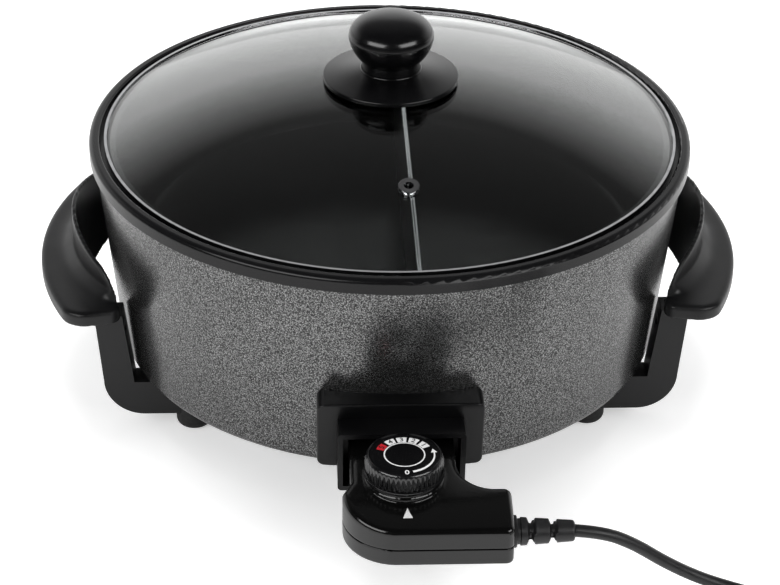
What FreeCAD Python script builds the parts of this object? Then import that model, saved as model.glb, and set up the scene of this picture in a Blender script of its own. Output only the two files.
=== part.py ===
import FreeCAD, Part
import math
import os
import re
import Sketcher

# Electric skillet: pan in a steel casing, glass lid, divider, handles on legs, plug-in controller.
# Millimetres. +Z is up, the floor is z = 0, the pan's axis is the origin and the inlet faces -Y.

doc = FreeCAD.newDocument("skillet")
sheet = doc.addObject("Spreadsheet::Sheet", "sizes")

SIZES = [
    ("Rim and pan",),
    ("rimRadius", "180", "outer radius of the rolled rim"),
    ("rimTop", "167", "height of the rim's crest"),
    ("rimDrop", "8.8", "height of the rim's outer lip"),
    ("rimWall", "1.8", "thickness of the rim's outer lip"),
    ("rimWeb", "2.4", "thickness of the rim's crest"),
    ("rimWidth", "6.4", "width of the rim's crest"),
    ("seatRadius", "=rimRadius - rimWidth", "radius of the step that the lid drops into"),
    ("seatDrop", "6", "depth of the lid's ledge below the crest"),
    ("ledgeSheet", "2", "thickness of the lid's ledge"),
    ("ledgeWidth", "10.2", "width of the lid's ledge"),
    ("panMouth", "=seatRadius - ledgeWidth", "inner radius of the pan at the ledge"),
    ("panLean", "9.4", "inward lean of the pan's wall"),
    ("panFoot", "=panMouth - panLean", "inner radius of the pan at its floor"),
    ("panDepth", "79", "depth of the pan's floor below the crest"),
    ("panFloor", "3.6", "thickness of the pan's floor"),
    ("panWall", "2.2", "thickness of the pan's wall"),
    ("panCorner", "9", "inner radius between floor and wall"),
    ("panFloorTop", "=rimTop - panDepth", "height of the pan's floor"),
    ("panUnder", "=panFloorTop - panFloor", "height of the pan's underside"),
    ("ledgeTop", "=rimTop - seatDrop", "height of the lid's ledge"),
    ("rimFoot", "=rimTop - rimDrop", "height of the lip's lower edge"),
    ("Casing",),
    ("casingClearance", "34", "height of the casing's underside"),
    ("casingLean", "12.25", "inward lean of the casing's wall"),
    ("casingCorner", "6", "outer radius between wall and underside"),
    ("casingSheet", "0.9", "sheet thickness of the casing"),
    ("casingGap", "0.35", "clearance between the casing's edge and the lip"),
    ("casingTop", "=rimTop - rimWeb", "height of the casing's upper edge"),
    ("casingMouth", "=rimRadius - rimWall - casingGap", "outer radius of the casing's upper edge"),
    ("casingFoot", "=casingMouth - casingLean", "outer radius of the casing above its corner"),
    ("casingFootTop", "=casingClearance + casingCorner", "height where the wall starts"),
    ("casingSlope", "=(casingMouth - casingFoot) / (casingTop - casingFootTop)", "outward lean of the wall"),
    ("bottomSheet", "1.2", "thickness of the bottom plate"),
    ("bottomPlay", "2.6", "clearance of the bottom plate inside the casing's corner"),
    ("bottomRadius", "=casingFoot - casingCorner - bottomPlay", "radius of the bottom plate"),
    ("ventRing", "88", "radius at the middle of the vent slots"),
    ("ventLength", "34", "length of a vent slot"),
    ("ventWidth", "5", "width of a vent slot"),
    ("bottomLow", "=casingClearance + casingSheet", "underside of the bottom plate"),
    ("bottomTop", "=bottomLow + bottomSheet", "top of the bottom plate"),
    ("shieldBrim", "4", "width of the heat shield's brim"),
    ("shieldPlay", "0.4", "clearance between the heat shield and the feet's nuts"),
    ("shieldRadius", "=bottomRadius - footInset - nutRadius - shieldHeight - shieldBrim - shieldPlay",
     "radius of the heat shield's flat"),
    ("casingFlange", "=shieldRadius + shieldHeight", "inner radius of the turned-in flange"),
    ("shieldHeight", "10", "height of the heat shield above the bottom plate"),
    ("shieldSheet", "0.6", "sheet thickness of the heat shield"),
    ("Heating",),
    ("elementInset", "6", "distance of the element's ring inside the heat shield"),
    ("elementRadius", "=shieldRadius - elementInset", "radius of the element's ring"),
    ("elementTube", "4.25", "radius of the element's tube"),
    ("pinHeight", "55", "height of the terminal pins and the probe"),
    ("pinSpread", "19", "distance of a pin from the middle"),
    ("pinRadius", "2.5", "radius of a terminal pin"),
    ("pinInside", "10", "length of a pin inside the ceramic block's back"),
    ("pinRoot", "=blockBack - pinInside", "distance of the pin's inner end from the axis"),
    ("pinShy", "2.5", "distance of a pin's tip behind the hood's mouth"),
    ("pinTip", "=hoodFront - pinShy", "distance of the pin's tip from the axis"),
    ("pinCollar", "4", "radius of the pin's collar"),
    ("clampInset", "15", "distance of the clamp studs inside the element's ring"),
    ("clampRing", "=elementRadius - clampInset", "radius of the clamp studs' ring"),
    ("clampReach", "25", "length of a clamp strap"),
    ("clampWidth", "12", "width of a clamp strap"),
    ("clampSheet", "1.6", "thickness of a clamp strap"),
    ("studRadius", "2.5", "radius of a clamp stud"),
    ("bossRadius", "4.5", "radius of a stud's boss"),
    ("nutRadius", "4.6", "radius of a round nut"),
    ("nutHeight", "3.5", "height of a round nut"),
    ("elementHeight", "=panUnder - elementTube", "height of the element's centre line"),
    ("clampTop", "=elementHeight - elementTube", "height of the clamp straps' top"),
    ("sleevePlay", "3.75", "clearance between the element and the sleeve block"),
    ("sleeveFront", "=elementRadius - elementTube - sleevePlay", "distance of the sleeve block's front from the axis"),
    ("sleeveLength", "28", "length of the sleeve block"),
    ("sleeveWidth", "20", "width of the sleeve block"),
    ("sleeveDepth", "5.5", "block below the probe's axis"),
    ("guideRadius", "5.2", "outer radius of the probe's guide tube"),
    ("probeRadius", "3", "radius of the sensor probe"),
    ("probeFit", "0.06", "radial clearance round the probe"),
    ("probeDeep", "23", "length of the probe inside the sleeve block"),
    ("probeTip", "=sleeveFront - probeDeep", "distance of the probe's tip from the axis"),
    ("fitGap", "0.05", "radial clearance of pins, shafts and screws in their holes"),
    ("Inlet",),
    ("inletWidth", "93", "width of the inlet's back plate"),
    ("inletHeight", "45", "height of the inlet's back plate"),
    ("inletRise", "2.3", "height of the back plate's lower edge above the hood's"),
    ("inletLow", "=hoodLow + inletRise", "height of the back plate's lower edge"),
    ("inletPlate", "8", "thickness of the back plate"),
    ("inletCorner", "4.5", "corner radius of the back plate"),
    ("inletRound", "2.4", "front edge radius of the back plate"),
    ("hoodSide", "3.25", "clearance beside the controller's neck"),
    ("hoodWidth", "=2 * (neckHalf + hoodSide + hoodWall)", "outer width of the hood"),
    ("hoodHeight", "37.3", "outer height of the hood"),
    ("hoodPlay", "0.8", "clearance below the controller's neck"),
    ("hoodLow", "=neckLow - hoodPlay - hoodWall", "height of the hood's underside"),
    ("hoodDeep", "19.5", "depth of the hood"),
    ("hoodFront", "=hoodFloor + hoodDeep", "distance of the hood's mouth from the axis"),
    ("hoodWall", "2.9", "wall thickness of the hood"),
    ("hoodFloor", "=blockBack + blockThick", "distance of the hood's floor from the axis"),
    ("hoodCorner", "2.2", "corner radius of the hood"),
    ("blockWidth", "52", "width of the ceramic block"),
    ("blockHeight", "18", "height of the ceramic block"),
    ("blockThick", "8", "thickness of the ceramic block"),
    ("blockStand", "2.4", "distance of the block's inner face outside the casing's foot"),
    ("blockBack", "=casingFoot + blockStand", "distance of the block's inner face from the axis"),
    ("windowGap", "1", "clearance of the casing's window round the block"),
    ("earthWidth", "10", "width of the earth spring"),
    ("earthSheet", "0.8", "thickness of the earth spring"),
    ("inletScrewSpread", "38", "distance of an inlet screw from the middle"),
    ("inletScrewDrop", "5.5", "distance of the inlet screws below the plate's top"),
    ("inletScrewHeight", "=inletLow + inletHeight - inletScrewDrop", "height of the inlet screws"),
    ("inletScrewStand", "1.5", "distance of the inlet screws' heads inside the casing"),
    ("inletScrewSeat", "=sqrt((casingFoot + casingSlope * (inletScrewHeight - casingFootTop) - casingSheet)^2"
     " - inletScrewSpread^2) - inletScrewStand", "distance of the inlet screws' heads from the axis"),
    ("Handles",),
    ("handleWidth", "22.3", "width of a handle in its middle"),
    ("handleReach", "=guardReach + handleWidth", "distance of a handle's outer edge from the axis"),
    ("handleSweep", "178", "radius of a handle's outer edge"),
    ("handleTop", "90", "height of a handle's plate"),
    ("handleLip", "9.2", "height of a handle's outer lip"),
    ("handleWeb", "4.2", "thickness of a handle's plate"),
    ("handleWall", "3", "thickness of a handle's lip"),
    ("fingerRoom", "20.2", "gap between the casing and the guard"),
    ("guardReach", "=casingFoot + casingSlope * (handleTop - casingFootTop) + fingerRoom",
     "distance of the guard's inner face from the axis"),
    ("guardSweep", "107.6", "radius of the guard's inner face"),
    ("guardWall", "2.5", "thickness of the guard"),
    ("guardRise", "28.5", "height of the guard above the plate in its middle"),
    ("guardDrop", "40", "depth of the guard's skirt below the plate's top in its middle"),
    ("guardHalf", "56", "half length of the guard's skirt"),
    ("guardFade", "73", "half length where the guard meets the plate"),
    ("guardCorner", "8", "corner radius of the guard's skirt"),
    ("guardTurn", "62", "half length where the guard's arched top turns down"),
    ("guardShoulder", "19", "height of the guard above the plate where it turns down"),
    ("guardEndRound", "24", "radius of the guard's shoulders"),
    ("guardArc", "9.2", "rise of the skirt's lower edge towards its corners"),
    ("blendWidth", "8.5", "width of the hollow blend between guard and plate"),
    ("blendRise", "11", "height of the blend inside the guard"),
    ("blendRound", "15", "radius of the blend"),
    ("blendSink", "0.4", "depth of the blend's outer edge in the plate"),
    ("pastEdge", "5", "length by which a cutting shape stands past a handle"),
    ("noseReach", "86.3", "half length of a handle"),
    ("noseRound", "15", "outer radius of the nose"),
    ("noseHeel", "7", "inner radius of the nose"),
    ("noseSlope", "10", "slope of the handle's end, in degrees"),
    ("hollowHalf", "42", "half length of the hollow under the plate"),
    ("ribSheet", "2.5", "thickness of a rib under the plate"),
    ("handleLow", "=handleTop - handleLip", "height of a handle's lower edge"),
    ("sweepCentre", "=handleReach - handleSweep", "centre of the outer edge's circle"),
    ("guardCentre", "=guardReach - guardSweep", "centre of the guard's circle"),
    ("noseAlong", "=noseReach - noseRound", "place of the outer nose circle along the handle"),
    ("noseAcross", "=sweepCentre + sqrt((handleSweep - noseRound)^2 - noseAlong^2)", "its distance from the axis"),
    ("noseNear", "=noseAcross - guardCentre - (noseRound - noseHeel) * sin(noseSlope)", "from the guard's centre"),
    ("noseFar", "=noseAlong + (noseRound - noseHeel) * cos(noseSlope)", "start of the line to the inner nose circle"),
    ("noseTurn", "=noseNear * cos(noseSlope) + noseFar * sin(noseSlope)", "the same along the handle's end"),
    ("noseSlide", "=noseTurn - sqrt(noseTurn^2 - noseNear^2 - noseFar^2 + (guardSweep + noseHeel)^2)", "length of the end"),
    ("heelAcross", "=guardCentre + noseNear - noseSlide * cos(noseSlope)", "distance of the inner nose circle"),
    ("heelAlong", "=noseFar - noseSlide * sin(noseSlope)", "place of the inner nose circle along the handle"),
    ("Legs and feet",),
    ("legPlace", "66", "distance of a leg's middle plane from the axis"),
    ("legDepth", "16", "front to back size of a leg"),
    ("postPlay", "1", "clearance between the casing and the post"),
    ("postInner", "=sqrt((casingFoot + casingSlope * (handleLow - casingFootTop))^2"
     " - (legPlace - legDepth / 2)^2) + postPlay", "distance of the post's upper inner edge"),
    ("postWidth", "16.4", "width of a post at its top"),
    ("postOuter", "=postInner + postWidth", "distance of the post's upper outer edge"),
    ("postLean", "3.6", "inward lean of the post's outer edge"),
    ("postTaper", "5.4", "inward lean of the post's inner edge"),
    ("barLow", "11.2", "height of the bar's underside"),
    ("barBend", "24", "outer radius between post and bar"),
    ("footInset", "20", "distance of a foot's middle inside the bottom plate's edge"),
    ("footPlace", "=sqrt((bottomRadius - footInset)^2 - legPlace^2)", "distance of a foot from the middle"),
    ("footRadius", "11", "radius of a foot"),
    ("footHeight", "10.4", "height of a foot"),
    ("footRound", "4.5", "lower edge radius of a foot"),
    ("footSink", "6.5", "depth of the screw's recess in a foot"),
    ("screwRadius", "2", "radius of a machine screw"),
    ("headRadius", "3.8", "radius of a screw's head"),
    ("headHeight", "2.6", "height of a screw's head"),
    ("screwProud", "1", "length of a screw past its nut"),
    ("legScrewStep", "17.2", "distance of the bar's outer screw from the foot"),
    ("legScrewPlace", "=footPlace + legScrewStep", "distance of the bar's outer screw from the middle"),
    ("legScrewSink", "14", "depth of that screw's recess"),
    ("tongueWidth", "9", "width of the handle's tongue in the post"),
    ("tongueThick", "8", "thickness of the handle's tongue"),
    ("tongueDeep", "20", "length of the handle's tongue"),
    ("tongueWall", "5.4", "post wall at the tongue"),
    ("tongueFit", "0.2", "clearance round the tongue"),
    ("handleScrewSink", "2.8", "depth of the handle screws' recess"),
    ("handleScrewHeight", "=handleLow - tongueDeep / 2", "height of the handle screws"),
    ("handleScrewSeat", "=postInner - postTaper * tongueDeep / 2 / (handleLow - casingClearance) + handleScrewSink",
     "distance of the handle screws' heads from the middle"),
    ("Lid",),
    ("lidPlay", "2.6", "clearance of the hoop inside its seat"),
    ("lidRadius", "=seatRadius - lidPlay", "outer radius of the lid's hoop"),
    ("lidGap", "0.25", "clearance of the hoop above its ledge"),
    ("hoopHeight", "5.75", "height of the hoop"),
    ("hoopSheet", "0.6", "sheet thickness of the hoop"),
    ("hoopLip", "1.6", "width of the hoop's upper lip"),
    ("hoopFoot", "2.2", "width of the hoop's lower lip"),
    ("glassSheet", "4", "thickness of the glass"),
    ("glassFlat", "1.6", "width of the glass's flat edge"),
    ("domeRadius", "436", "radius of the dome"),
    ("hoopLow", "=ledgeTop + lidGap", "height of the hoop's lower edge"),
    ("hoopTop", "=hoopLow + hoopHeight", "height of the hoop's upper edge"),
    ("glassTop", "=hoopTop - hoopSheet", "height of the glass at its flat edge"),
    ("glassEdge", "=lidRadius - hoopSheet", "radius of the glass"),
    ("domeFoot", "=glassEdge - glassFlat", "radius where the dome starts"),
    ("domeCentre", "=glassTop - sqrt(domeRadius^2 - domeFoot^2)", "height of the dome's centre"),
    ("glassHole", "3", "radius of the hole for the knob's screw"),
    ("ventPlace", "110", "distance of the vent from the lid's axis"),
    ("ventSide", "5.8", "sideways place of the vent"),
    ("ventRadius", "6", "outer radius of the vent's flange"),
    ("ventBody", "4.2", "radius of the vent's barrel"),
    ("ventBore", "2.8", "radius of the vent's hole"),
    ("ventFlange", "0.9", "thickness of the vent's flange"),
    ("baseRadius", "40.5", "radius of the knob's base disc"),
    ("baseEdge", "2.2", "edge thickness of the base disc"),
    ("baseRise", "10.5", "height of the base disc's middle above its edge"),
    ("baseSeat", "13", "radius of the base disc's seat on the glass"),
    ("baseLift", "0.5", "clearance of the disc's edge over the glass"),
    ("baseWall", "2.8", "wall thickness of the base disc"),
    ("neckRadius", "16.8", "radius of the knob's neck"),
    ("knobRadius", "25.2", "largest radius of the knob"),
    ("knobWaist", "15", "height of the knob's widest line above its neck"),
    ("knobDome", "13.5", "height of the knob above its widest line"),
    ("knobCap", "=(knobRadius^2 + knobDome^2) / (2 * knobDome)", "radius of the knob's top"),
    ("knobHollow", "9", "depth of the screw's hole in the knob"),
    ("washerRadius", "10", "radius of the knob's washer"),
    ("washerHeight", "1.8", "thickness of the knob's washer"),
    ("Divider",),
    ("dividerSide", "10", "sideways place of the divider"),
    ("dividerSheet", "1.5", "thickness of the divider"),
    ("dividerDrop", "10", "depth of the divider's top edge below the crest"),
    ("dividerGap", "0.5", "clearance of the divider in the pan"),
    ("dividerBead", "1.6", "radius of the divider's rolled top edge"),
    ("Controller",),
    ("dialBehind", "15", "distance of the dial's axis from the neck's root"),
    ("dialPlace", "=neckRoot + dialBehind", "distance of the dial's axis from the pan's axis"),
    ("neckHalf", "29.3", "half width of the controller's neck"),
    ("neckAbove", "14.5", "height of the neck above the pins"),
    ("neckTop", "=pinHeight + neckAbove", "height of the neck's top"),
    ("neckBelow", "10.6", "depth of the neck below the pins"),
    ("neckLow", "=pinHeight - neckBelow", "height of the neck's underside"),
    ("neckPlay", "1.2", "clearance of the neck's end before the hood's floor"),
    ("neckTip", "=hoodFloor + neckPlay", "distance of the neck's end from the pan's axis"),
    ("neckLength", "28.8", "length of the neck"),
    ("neckRoot", "=neckTip + neckLength", "distance where the neck meets the body"),
    ("coverRound", "3.6", "edge radius of the upper shell's top"),
    ("baseHeight", "10.4", "height of the lower shell"),
    ("bodyLow", "=bodySplit - baseHeight", "height of the body's underside"),
    ("splitDrop", "5", "distance of the line between the shells below the pins"),
    ("bodySplit", "=pinHeight - splitDrop", "height of the line between the shells"),
    ("coverHeight", "12", "height of the upper shell at its front"),
    ("bodyTop", "=bodySplit + coverHeight", "height of the body's top at its front"),
    ("bodyLeft", "33.8", "distance of the body's left side"),
    ("bodyRight", "57.5", "distance of the wing's end"),
    ("bodyNose", "42", "length of the body in front of the dial's axis"),
    ("bodyFront", "=dialPlace + bodyNose", "distance of the body's front from the pan's axis"),
    ("crownRadius", "=((bodyFront - neckRoot)^2 + (neckTop - bodyTop)^2) / (2 * (neckTop - bodyTop))",
     "radius of the top's fall from the neck to the front"),
    ("bodyRound", "29.5", "front left corner radius"),
    ("wingStart", "9.3", "distance of the wing's rear side in front of the dial's axis"),
    ("wingBack", "=dialPlace + wingStart", "distance of the wing's rear side"),
    ("wingRound", "4.4", "corner radius of the wing"),
    ("wingFillet", "20", "inner radius between neck and wing"),
    ("flareStart", "19", "distance of the left flare's start in front of the neck's root"),
    ("shellWall", "2.2", "wall thickness of the shells"),
    ("shellRound", "1.6", "edge radius of the shells"),
    ("collarRadius", "21.2", "radius of the stepped collar"),
    ("collarFlange", "22.2", "radius of the collar's lower ring"),
    ("collarDrop", "1.8", "depth of the lower ring's top below the collar's"),
    ("collarStep", "0.9", "height of the collar above the neck"),
    ("collarTop", "=neckTop + collarStep", "height of the stepped collar"),
    ("dialRadius", "21.5", "radius of the dial"),
    ("dialGap", "0.5", "clearance between collar and dial"),
    ("dialHeight", "12.4", "height of the dial"),
    ("dialBand", "4.2", "height of the dial's smooth upper band"),
    ("dialStep", "0.8", "depth of the dial's knurl below its band"),
    ("dialLip", "1.1", "height of the dial's lower lip"),
    ("dialLipRadius", "22.4", "radius of the dial's lower lip"),
    ("dialCore", "9", "radius of the dial's hub"),
    ("dialWall", "2.4", "wall thickness of the dial"),
    ("knurlCount", "60", "number of knurl grooves"),
    ("knurlRadius", "0.75", "radius of a knurl groove"),
    ("knurlInset", "0.3", "plain strip above and below the knurl"),
    ("faceRadius", "19.2", "radius of the printed face"),
    ("faceSheet", "0.5", "thickness of the printed face"),
    ("faceSink", "0.6", "depth of the printed face below the dial's rim"),
    ("shaftRadius", "3", "radius of the dial's shaft"),
    ("shaftBelow", "0.6", "depth of the shaft's end below the line between the shells"),
    ("shaftLow", "=bodySplit - shaftBelow", "height of the shaft's lower end"),
    ("shaftDeep", "9", "length of the shaft inside the dial"),
    ("dialLow", "=collarTop + dialGap", "height of the dial's lower edge"),
    ("dialTop", "=dialLow + dialHeight", "height of the dial's top"),
    ("shellFloor", "=bodyLow + shellWall", "height of the lower shell's inside"),
    ("shellRoof", "=bodyTop - shellWall", "height of the upper shell's inside"),
    ("neckFloor", "=neckLow + shellWall", "height of the neck's inside floor"),
    ("carrierStart", "5.8", "distance of the carrier behind the neck's end"),
    ("carrierFront", "=neckTip + carrierStart", "distance of the carrier's front from the pan's axis"),
    ("carrierLength", "20", "length of the carrier"),
    ("carrierBack", "=carrierFront + carrierLength", "distance of the carrier's back from the pan's axis"),
    ("carrierPlay", "0.6", "clearance beside the carrier"),
    ("carrierHalf", "=neckHalf - shellWall - carrierPlay", "half width of the carrier"),
    ("contactWall", "1.1", "wall thickness of a female contact"),
    ("contactFit", "0.05", "radial clearance of a contact round its pin"),
    ("contactOpen", "1.8", "extra radius of the openings in the neck's end"),
    ("contactShort", "3", "distance of a contact's inner end inside the carrier's back"),
    ("contactBack", "=carrierBack - contactShort", "distance of a contact's inner end"),
    ("frameHalf", "15", "half width of the thermostat frame"),
    ("frameSheet", "1.2", "sheet thickness of the thermostat frame"),
    ("frameReach", "12", "half depth of the thermostat frame, about the dial's axis"),
    ("frameFront", "=dialPlace - frameReach", "distance of the frame's near side"),
    ("frameBack", "=dialPlace + frameReach", "distance of the frame's far side"),
    ("frameHeight", "13.4", "height of the thermostat frame"),
    ("bladeSheet", "0.6", "thickness of a switch blade"),
    ("bladeHalf", "12", "half length of a switch blade"),
    ("bladeWidth", "8", "width of a switch blade"),
    ("bladeGap", "2", "space between the switch blades"),
    ("pillarRadius", "2.4", "radius of the blades' pillar"),
    ("shellScrewRadius", "1.5", "radius of a shell screw"),
    ("shellBoss", "3.6", "radius of a screw boss"),
    ("shellHead", "2.8", "radius of a shell screw's head"),
    ("shellHeadHeight", "2", "height of a shell screw's head"),
    ("bossSide", "9.4", "distance of the left screw bosses from the body's side"),
    ("bossLeft", "=bossSide - bodyLeft", "left screw bosses"),
    ("bossEnd", "8.9", "distance of the right screw bosses from the wing's end"),
    ("bossRight", "=bodyRight - bossEnd", "right screw bosses"),
    ("bossBehind", "6", "distance of the rear left boss in front of the neck's root"),
    ("bossBack", "=neckRoot + bossBehind", "rear left screw boss"),
    ("bossNose", "15", "distance of the front left boss from the body's front"),
    ("bossFront", "=bodyFront - bossNose", "front left screw boss"),
    ("bossWing", "7.2", "distance of the rear right boss from the wing's rear side"),
    ("bossWingBack", "=wingBack + bossWing", "rear right screw boss"),
    ("bossEdge", "6.6", "distance of the front right boss from the body's front"),
    ("bossWingFront", "=bodyFront - bossEdge", "front right screw boss"),
    ("Cord",),
    ("cordStart", "17", "distance of the cord's exit in front of the wing's rear side"),
    ("cordPlace", "=wingBack + cordStart", "distance of the cord's exit from the pan's axis"),
    ("cordRadius", "3.5", "radius of the cord"),
    ("reliefFlange", "7.4", "radius of the strain relief's inner flange"),
    ("reliefNeck", "5", "radius of the strain relief in the wall"),
    ("reliefRoot", "7.9", "radius of the strain relief next to its ring"),
    ("reliefRing", "8.9", "radius of the strain relief's outer ring"),
    ("reliefRingWidth", "2", "width of the strain relief's outer ring"),
    ("reliefTip", "5.8", "radius of the strain relief at its end"),
    ("reliefLength", "33.5", "length of the strain relief"),
    ("reliefPitch", "11.8", "distance between the notches of the strain relief"),
    ("notchStart", "9.8", "distance of the first notch from the wing's end"),
    ("slotStart", "4.8", "distance of the first slot from the wing's end"),
    ("reliefNotch", "3.6", "width of a notch above and below"),
    ("reliefSlot", "2.8", "width of a slot at the sides"),
    ("reliefDeep", "3", "depth of a notch or slot"),
    ("reliefNotches", "2", "number of notches above and below"),
    ("reliefRound", "1.6", "edge radius of the strain relief's end"),
    ("stubDeep", "20.5", "length of the cord inside the wing"),
    ("stubEnd", "=bodyRight - stubDeep", "place of the cord's inner end"),
    ("clampDeep", "16.5", "distance of the cord clamp inside the wing's end"),
    ("clampPlace", "=bodyRight - clampDeep", "place of the cord clamp"),
    ("clampPlateHalf", "9.6", "half length of the cord clamp"),
    ("clampPlateWidth", "7", "width of the cord clamp"),
    ("clampPlateHeight", "2.4", "thickness of the cord clamp"),
    ("clampScrewSpread", "6.6", "distance of a clamp screw from the cord"),
    ("leadRadius", "1.1", "radius of an internal lead"),
    ("coilSide", "246", "sideways place of the coil"),
    ("coilBack", "305", "distance of the coil from the pan's axis"),
    ("coilRadius", "40", "radius of the coil at the middle of its turns"),
    ("coilLift", "0.8", "height of the coil above the floor, the tie's thickness"),
    ("tieWidth", "9", "width of the coil's tie"),
    ("tieGap", "0.35", "slack of the tie beside the coil"),
    ("Plug",),
    ("plugRear", "192", "sideways place of the plug's cord end"),
    ("plugBack", "350", "distance of the plug from the pan's axis"),
    ("plugHeight", "19", "height of the plug's axis"),
    ("plugLength", "46", "length of the plug's body"),
    ("plugFace", "18.6", "radius of the plug's front"),
    ("plugGrip", "13.5", "radius of the plug's grip"),
    ("plugTail", "5.6", "radius of the plug's tail"),
    ("plugRim", "7", "length of the plug's front rim"),
    ("plugPinRadius", "2.4", "radius of a plug pin"),
    ("plugPinStem", "1.9", "radius of a plug pin's root inside the plug"),
    ("plugPinLength", "19", "length of a plug pin"),
    ("plugPinSpread", "9.5", "distance of a plug pin from the axis"),
    ("plugPinRoot", "10", "length of a plug pin inside the plug"),
    ("plugGroove", "7", "width of the earth groove"),
    ("plugGrooveDeep", "4", "depth of the earth groove"),
    ("plugGrooveLength", "20", "length of the earth groove"),
    ("earthClip", "1.4", "thickness of an earth clip"),
]


def fill_sheet(rows):
    for number, row in enumerate(rows, 1):
        sheet.set(f"A{number}", row[0])
        if len(row) == 3:
            sheet.set(f"B{number}", row[1])
            sheet.setAlias(f"B{number}", row[0])
            sheet.set(f"C{number}", row[2])
    doc.recompute()


fill_sheet(SIZES)

WORD = re.compile(r"\b([a-z][A-Za-z]*)\b(?!\()")


def linked(rule):
    """The rule with each size's name pointing at the sheet."""
    return WORD.sub(r"sizes.\1", rule)


def size(rule):
    """The rule's value now."""
    return float(sheet.evalExpression(rule))


def bind(item, field, rule):
    item.setExpression(field, linked(rule))


def make_body(label):
    body = doc.addObject("PartDesign::Body", label)
    body.Label = label
    return body


def make_sketch(body, role="XY_Plane", offset="0"):
    sketch = body.newObject("Sketcher::SketchObject", body.Label + "_sketch")
    planes = [item for item in body.Origin.OriginFeatures if item.Role == role]
    sketch.AttachmentSupport = [(planes[0], "")]
    sketch.MapMode = "FlatFace"
    if offset != "0":
        bind(sketch, "AttachmentOffset.Base.z", offset)
    return sketch


def hold(sketch, kind, geometry, corner, rule):
    """Ties one coordinate of a point to a rule."""
    number = sketch.addConstraint(Sketcher.Constraint(kind, -1, 1, geometry, corner, size(rule)))
    bind(sketch, f"Constraints[{number}]", rule)


def hold_radius(sketch, geometry, rule):
    number = sketch.addConstraint(Sketcher.Constraint("Radius", geometry, size(rule)))
    bind(sketch, f"Constraints[{number}]", rule)


def arc_between(start, end, radius):
    """An arc from start to end: a positive radius turns left, a negative one right."""
    chord = end - start
    middle = (start + end) * 0.5
    left = FreeCAD.Vector(-chord.y, chord.x, 0).normalize()
    reach = math.sqrt(radius ** 2 - (chord.Length / 2) ** 2)
    centre = middle + left * (reach if radius > 0 else -reach)
    first, last = (start, end) if radius > 0 else (end, start)
    angles = [math.atan2(point.y - centre.y, point.x - centre.x) for point in (first, last)]
    circle = Part.Circle(centre, FreeCAD.Vector(0, 0, 1), abs(radius))
    return Part.ArcOfCircle(circle, angles[0], angles[1])


def draw_outline(sketch, corners):
    """A closed outline. A corner is (x, y), or (x, y, radius) where an arc leaves it."""
    places = [FreeCAD.Vector(size(corner[0]), size(corner[1]), 0) for corner in corners]
    ends = []
    for number, corner in enumerate(corners):
        start = places[number]
        end = places[(number + 1) % len(places)]
        if len(corner) == 2:
            geometry = sketch.addGeometry(Part.LineSegment(start, end), False)
            ends.append((geometry, 1, 2))
            continue
        radius = size(corner[2])
        geometry = sketch.addGeometry(arc_between(start, end, radius), False)
        ends.append((geometry, 1, 2) if radius > 0 else (geometry, 2, 1))
    for number, (geometry, first, last) in enumerate(ends):
        following = ends[(number + 1) % len(ends)]
        sketch.addConstraint(Sketcher.Constraint("Coincident", geometry, last, following[0], following[1]))
    for (geometry, first, last), corner in zip(ends, corners):
        hold(sketch, "DistanceX", geometry, first, corner[0])
        hold(sketch, "DistanceY", geometry, first, corner[1])
        if len(corner) == 3:
            hold_radius(sketch, geometry, f"abs({corner[2]})")


def draw_circle(sketch, across, along, radius):
    centre = FreeCAD.Vector(size(across), size(along), 0)
    circle = Part.Circle(centre, FreeCAD.Vector(0, 0, 1), size(radius))
    geometry = sketch.addGeometry(circle, False)
    hold_radius(sketch, geometry, radius)
    hold(sketch, "DistanceX", geometry, 3, across)
    hold(sketch, "DistanceY", geometry, 3, along)


def rectangle(left, low, right, high):
    return [(left, low), (right, low), (right, high), (left, high)]


def add_feature(body, kind, sketch, length=None, backwards=False):
    """A pad or pocket of a sketch, or a revolution or groove round its vertical axis."""
    feature = body.newObject("PartDesign::" + kind, f"{body.Label}_{kind.lower()}")
    feature.Profile = sketch
    if length is None:
        feature.ReferenceAxis = (sketch, ["V_Axis"])
        feature.Angle = 360
    else:
        bind(feature, "Length", length)
    feature.Reversed = backwards
    sketch.Visibility = False
    return feature


def add_pad(body, role, start, length, corners=None, circles=()):
    """A pad of an outline or of circles, from a start along the plane's normal."""
    sketch = make_sketch(body, role, start)
    if corners:
        draw_outline(sketch, corners)
    for circle in circles:
        draw_circle(sketch, *circle)
    return add_feature(body, "Pad", sketch, length)


def add_pocket(body, role, start, length, corners=None, circles=()):
    """A pocket that runs from a start along the plane's normal, checked to remove material."""
    sketch = make_sketch(body, role, start)
    if corners:
        draw_outline(sketch, corners)
    for circle in circles:
        draw_circle(sketch, *circle)
    before = volume_of(body)
    feature = add_feature(body, "Pocket", sketch, length, backwards=True)
    if volume_of(body) > before - 0.01:
        print("pocket removed nothing:", feature.Name)
    return feature


def volume_of(body):
    doc.recompute()
    return body.Shape.Volume


def turned_body(label, corners, role="XZ_Plane"):
    """A body turned round the sketch's vertical axis, from a profile of radius and height."""
    body = make_body(label)
    sketch = make_sketch(body, role)
    draw_outline(sketch, corners)
    add_feature(body, "Revolution", sketch)
    return body


def stacked_body(label, role, places, sections):
    """Round pieces at several places: each section is (radius, bore, start, length)."""
    body = make_body(label)
    for radius, bore, start, length in sections:
        circles = [(across, along, radius) for across, along in places]
        if bore:
            circles += [(across, along, bore) for across, along in places]
        add_pad(body, role, start, length, circles=circles)
    return body


def is_circle(edge, radius, height=None):
    curve = edge.Curve
    if not isinstance(curve, Part.Circle) or abs(curve.Radius - radius) > 0.01:
        return False
    return height is None or abs(curve.Center.z - height) < 0.01


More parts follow.
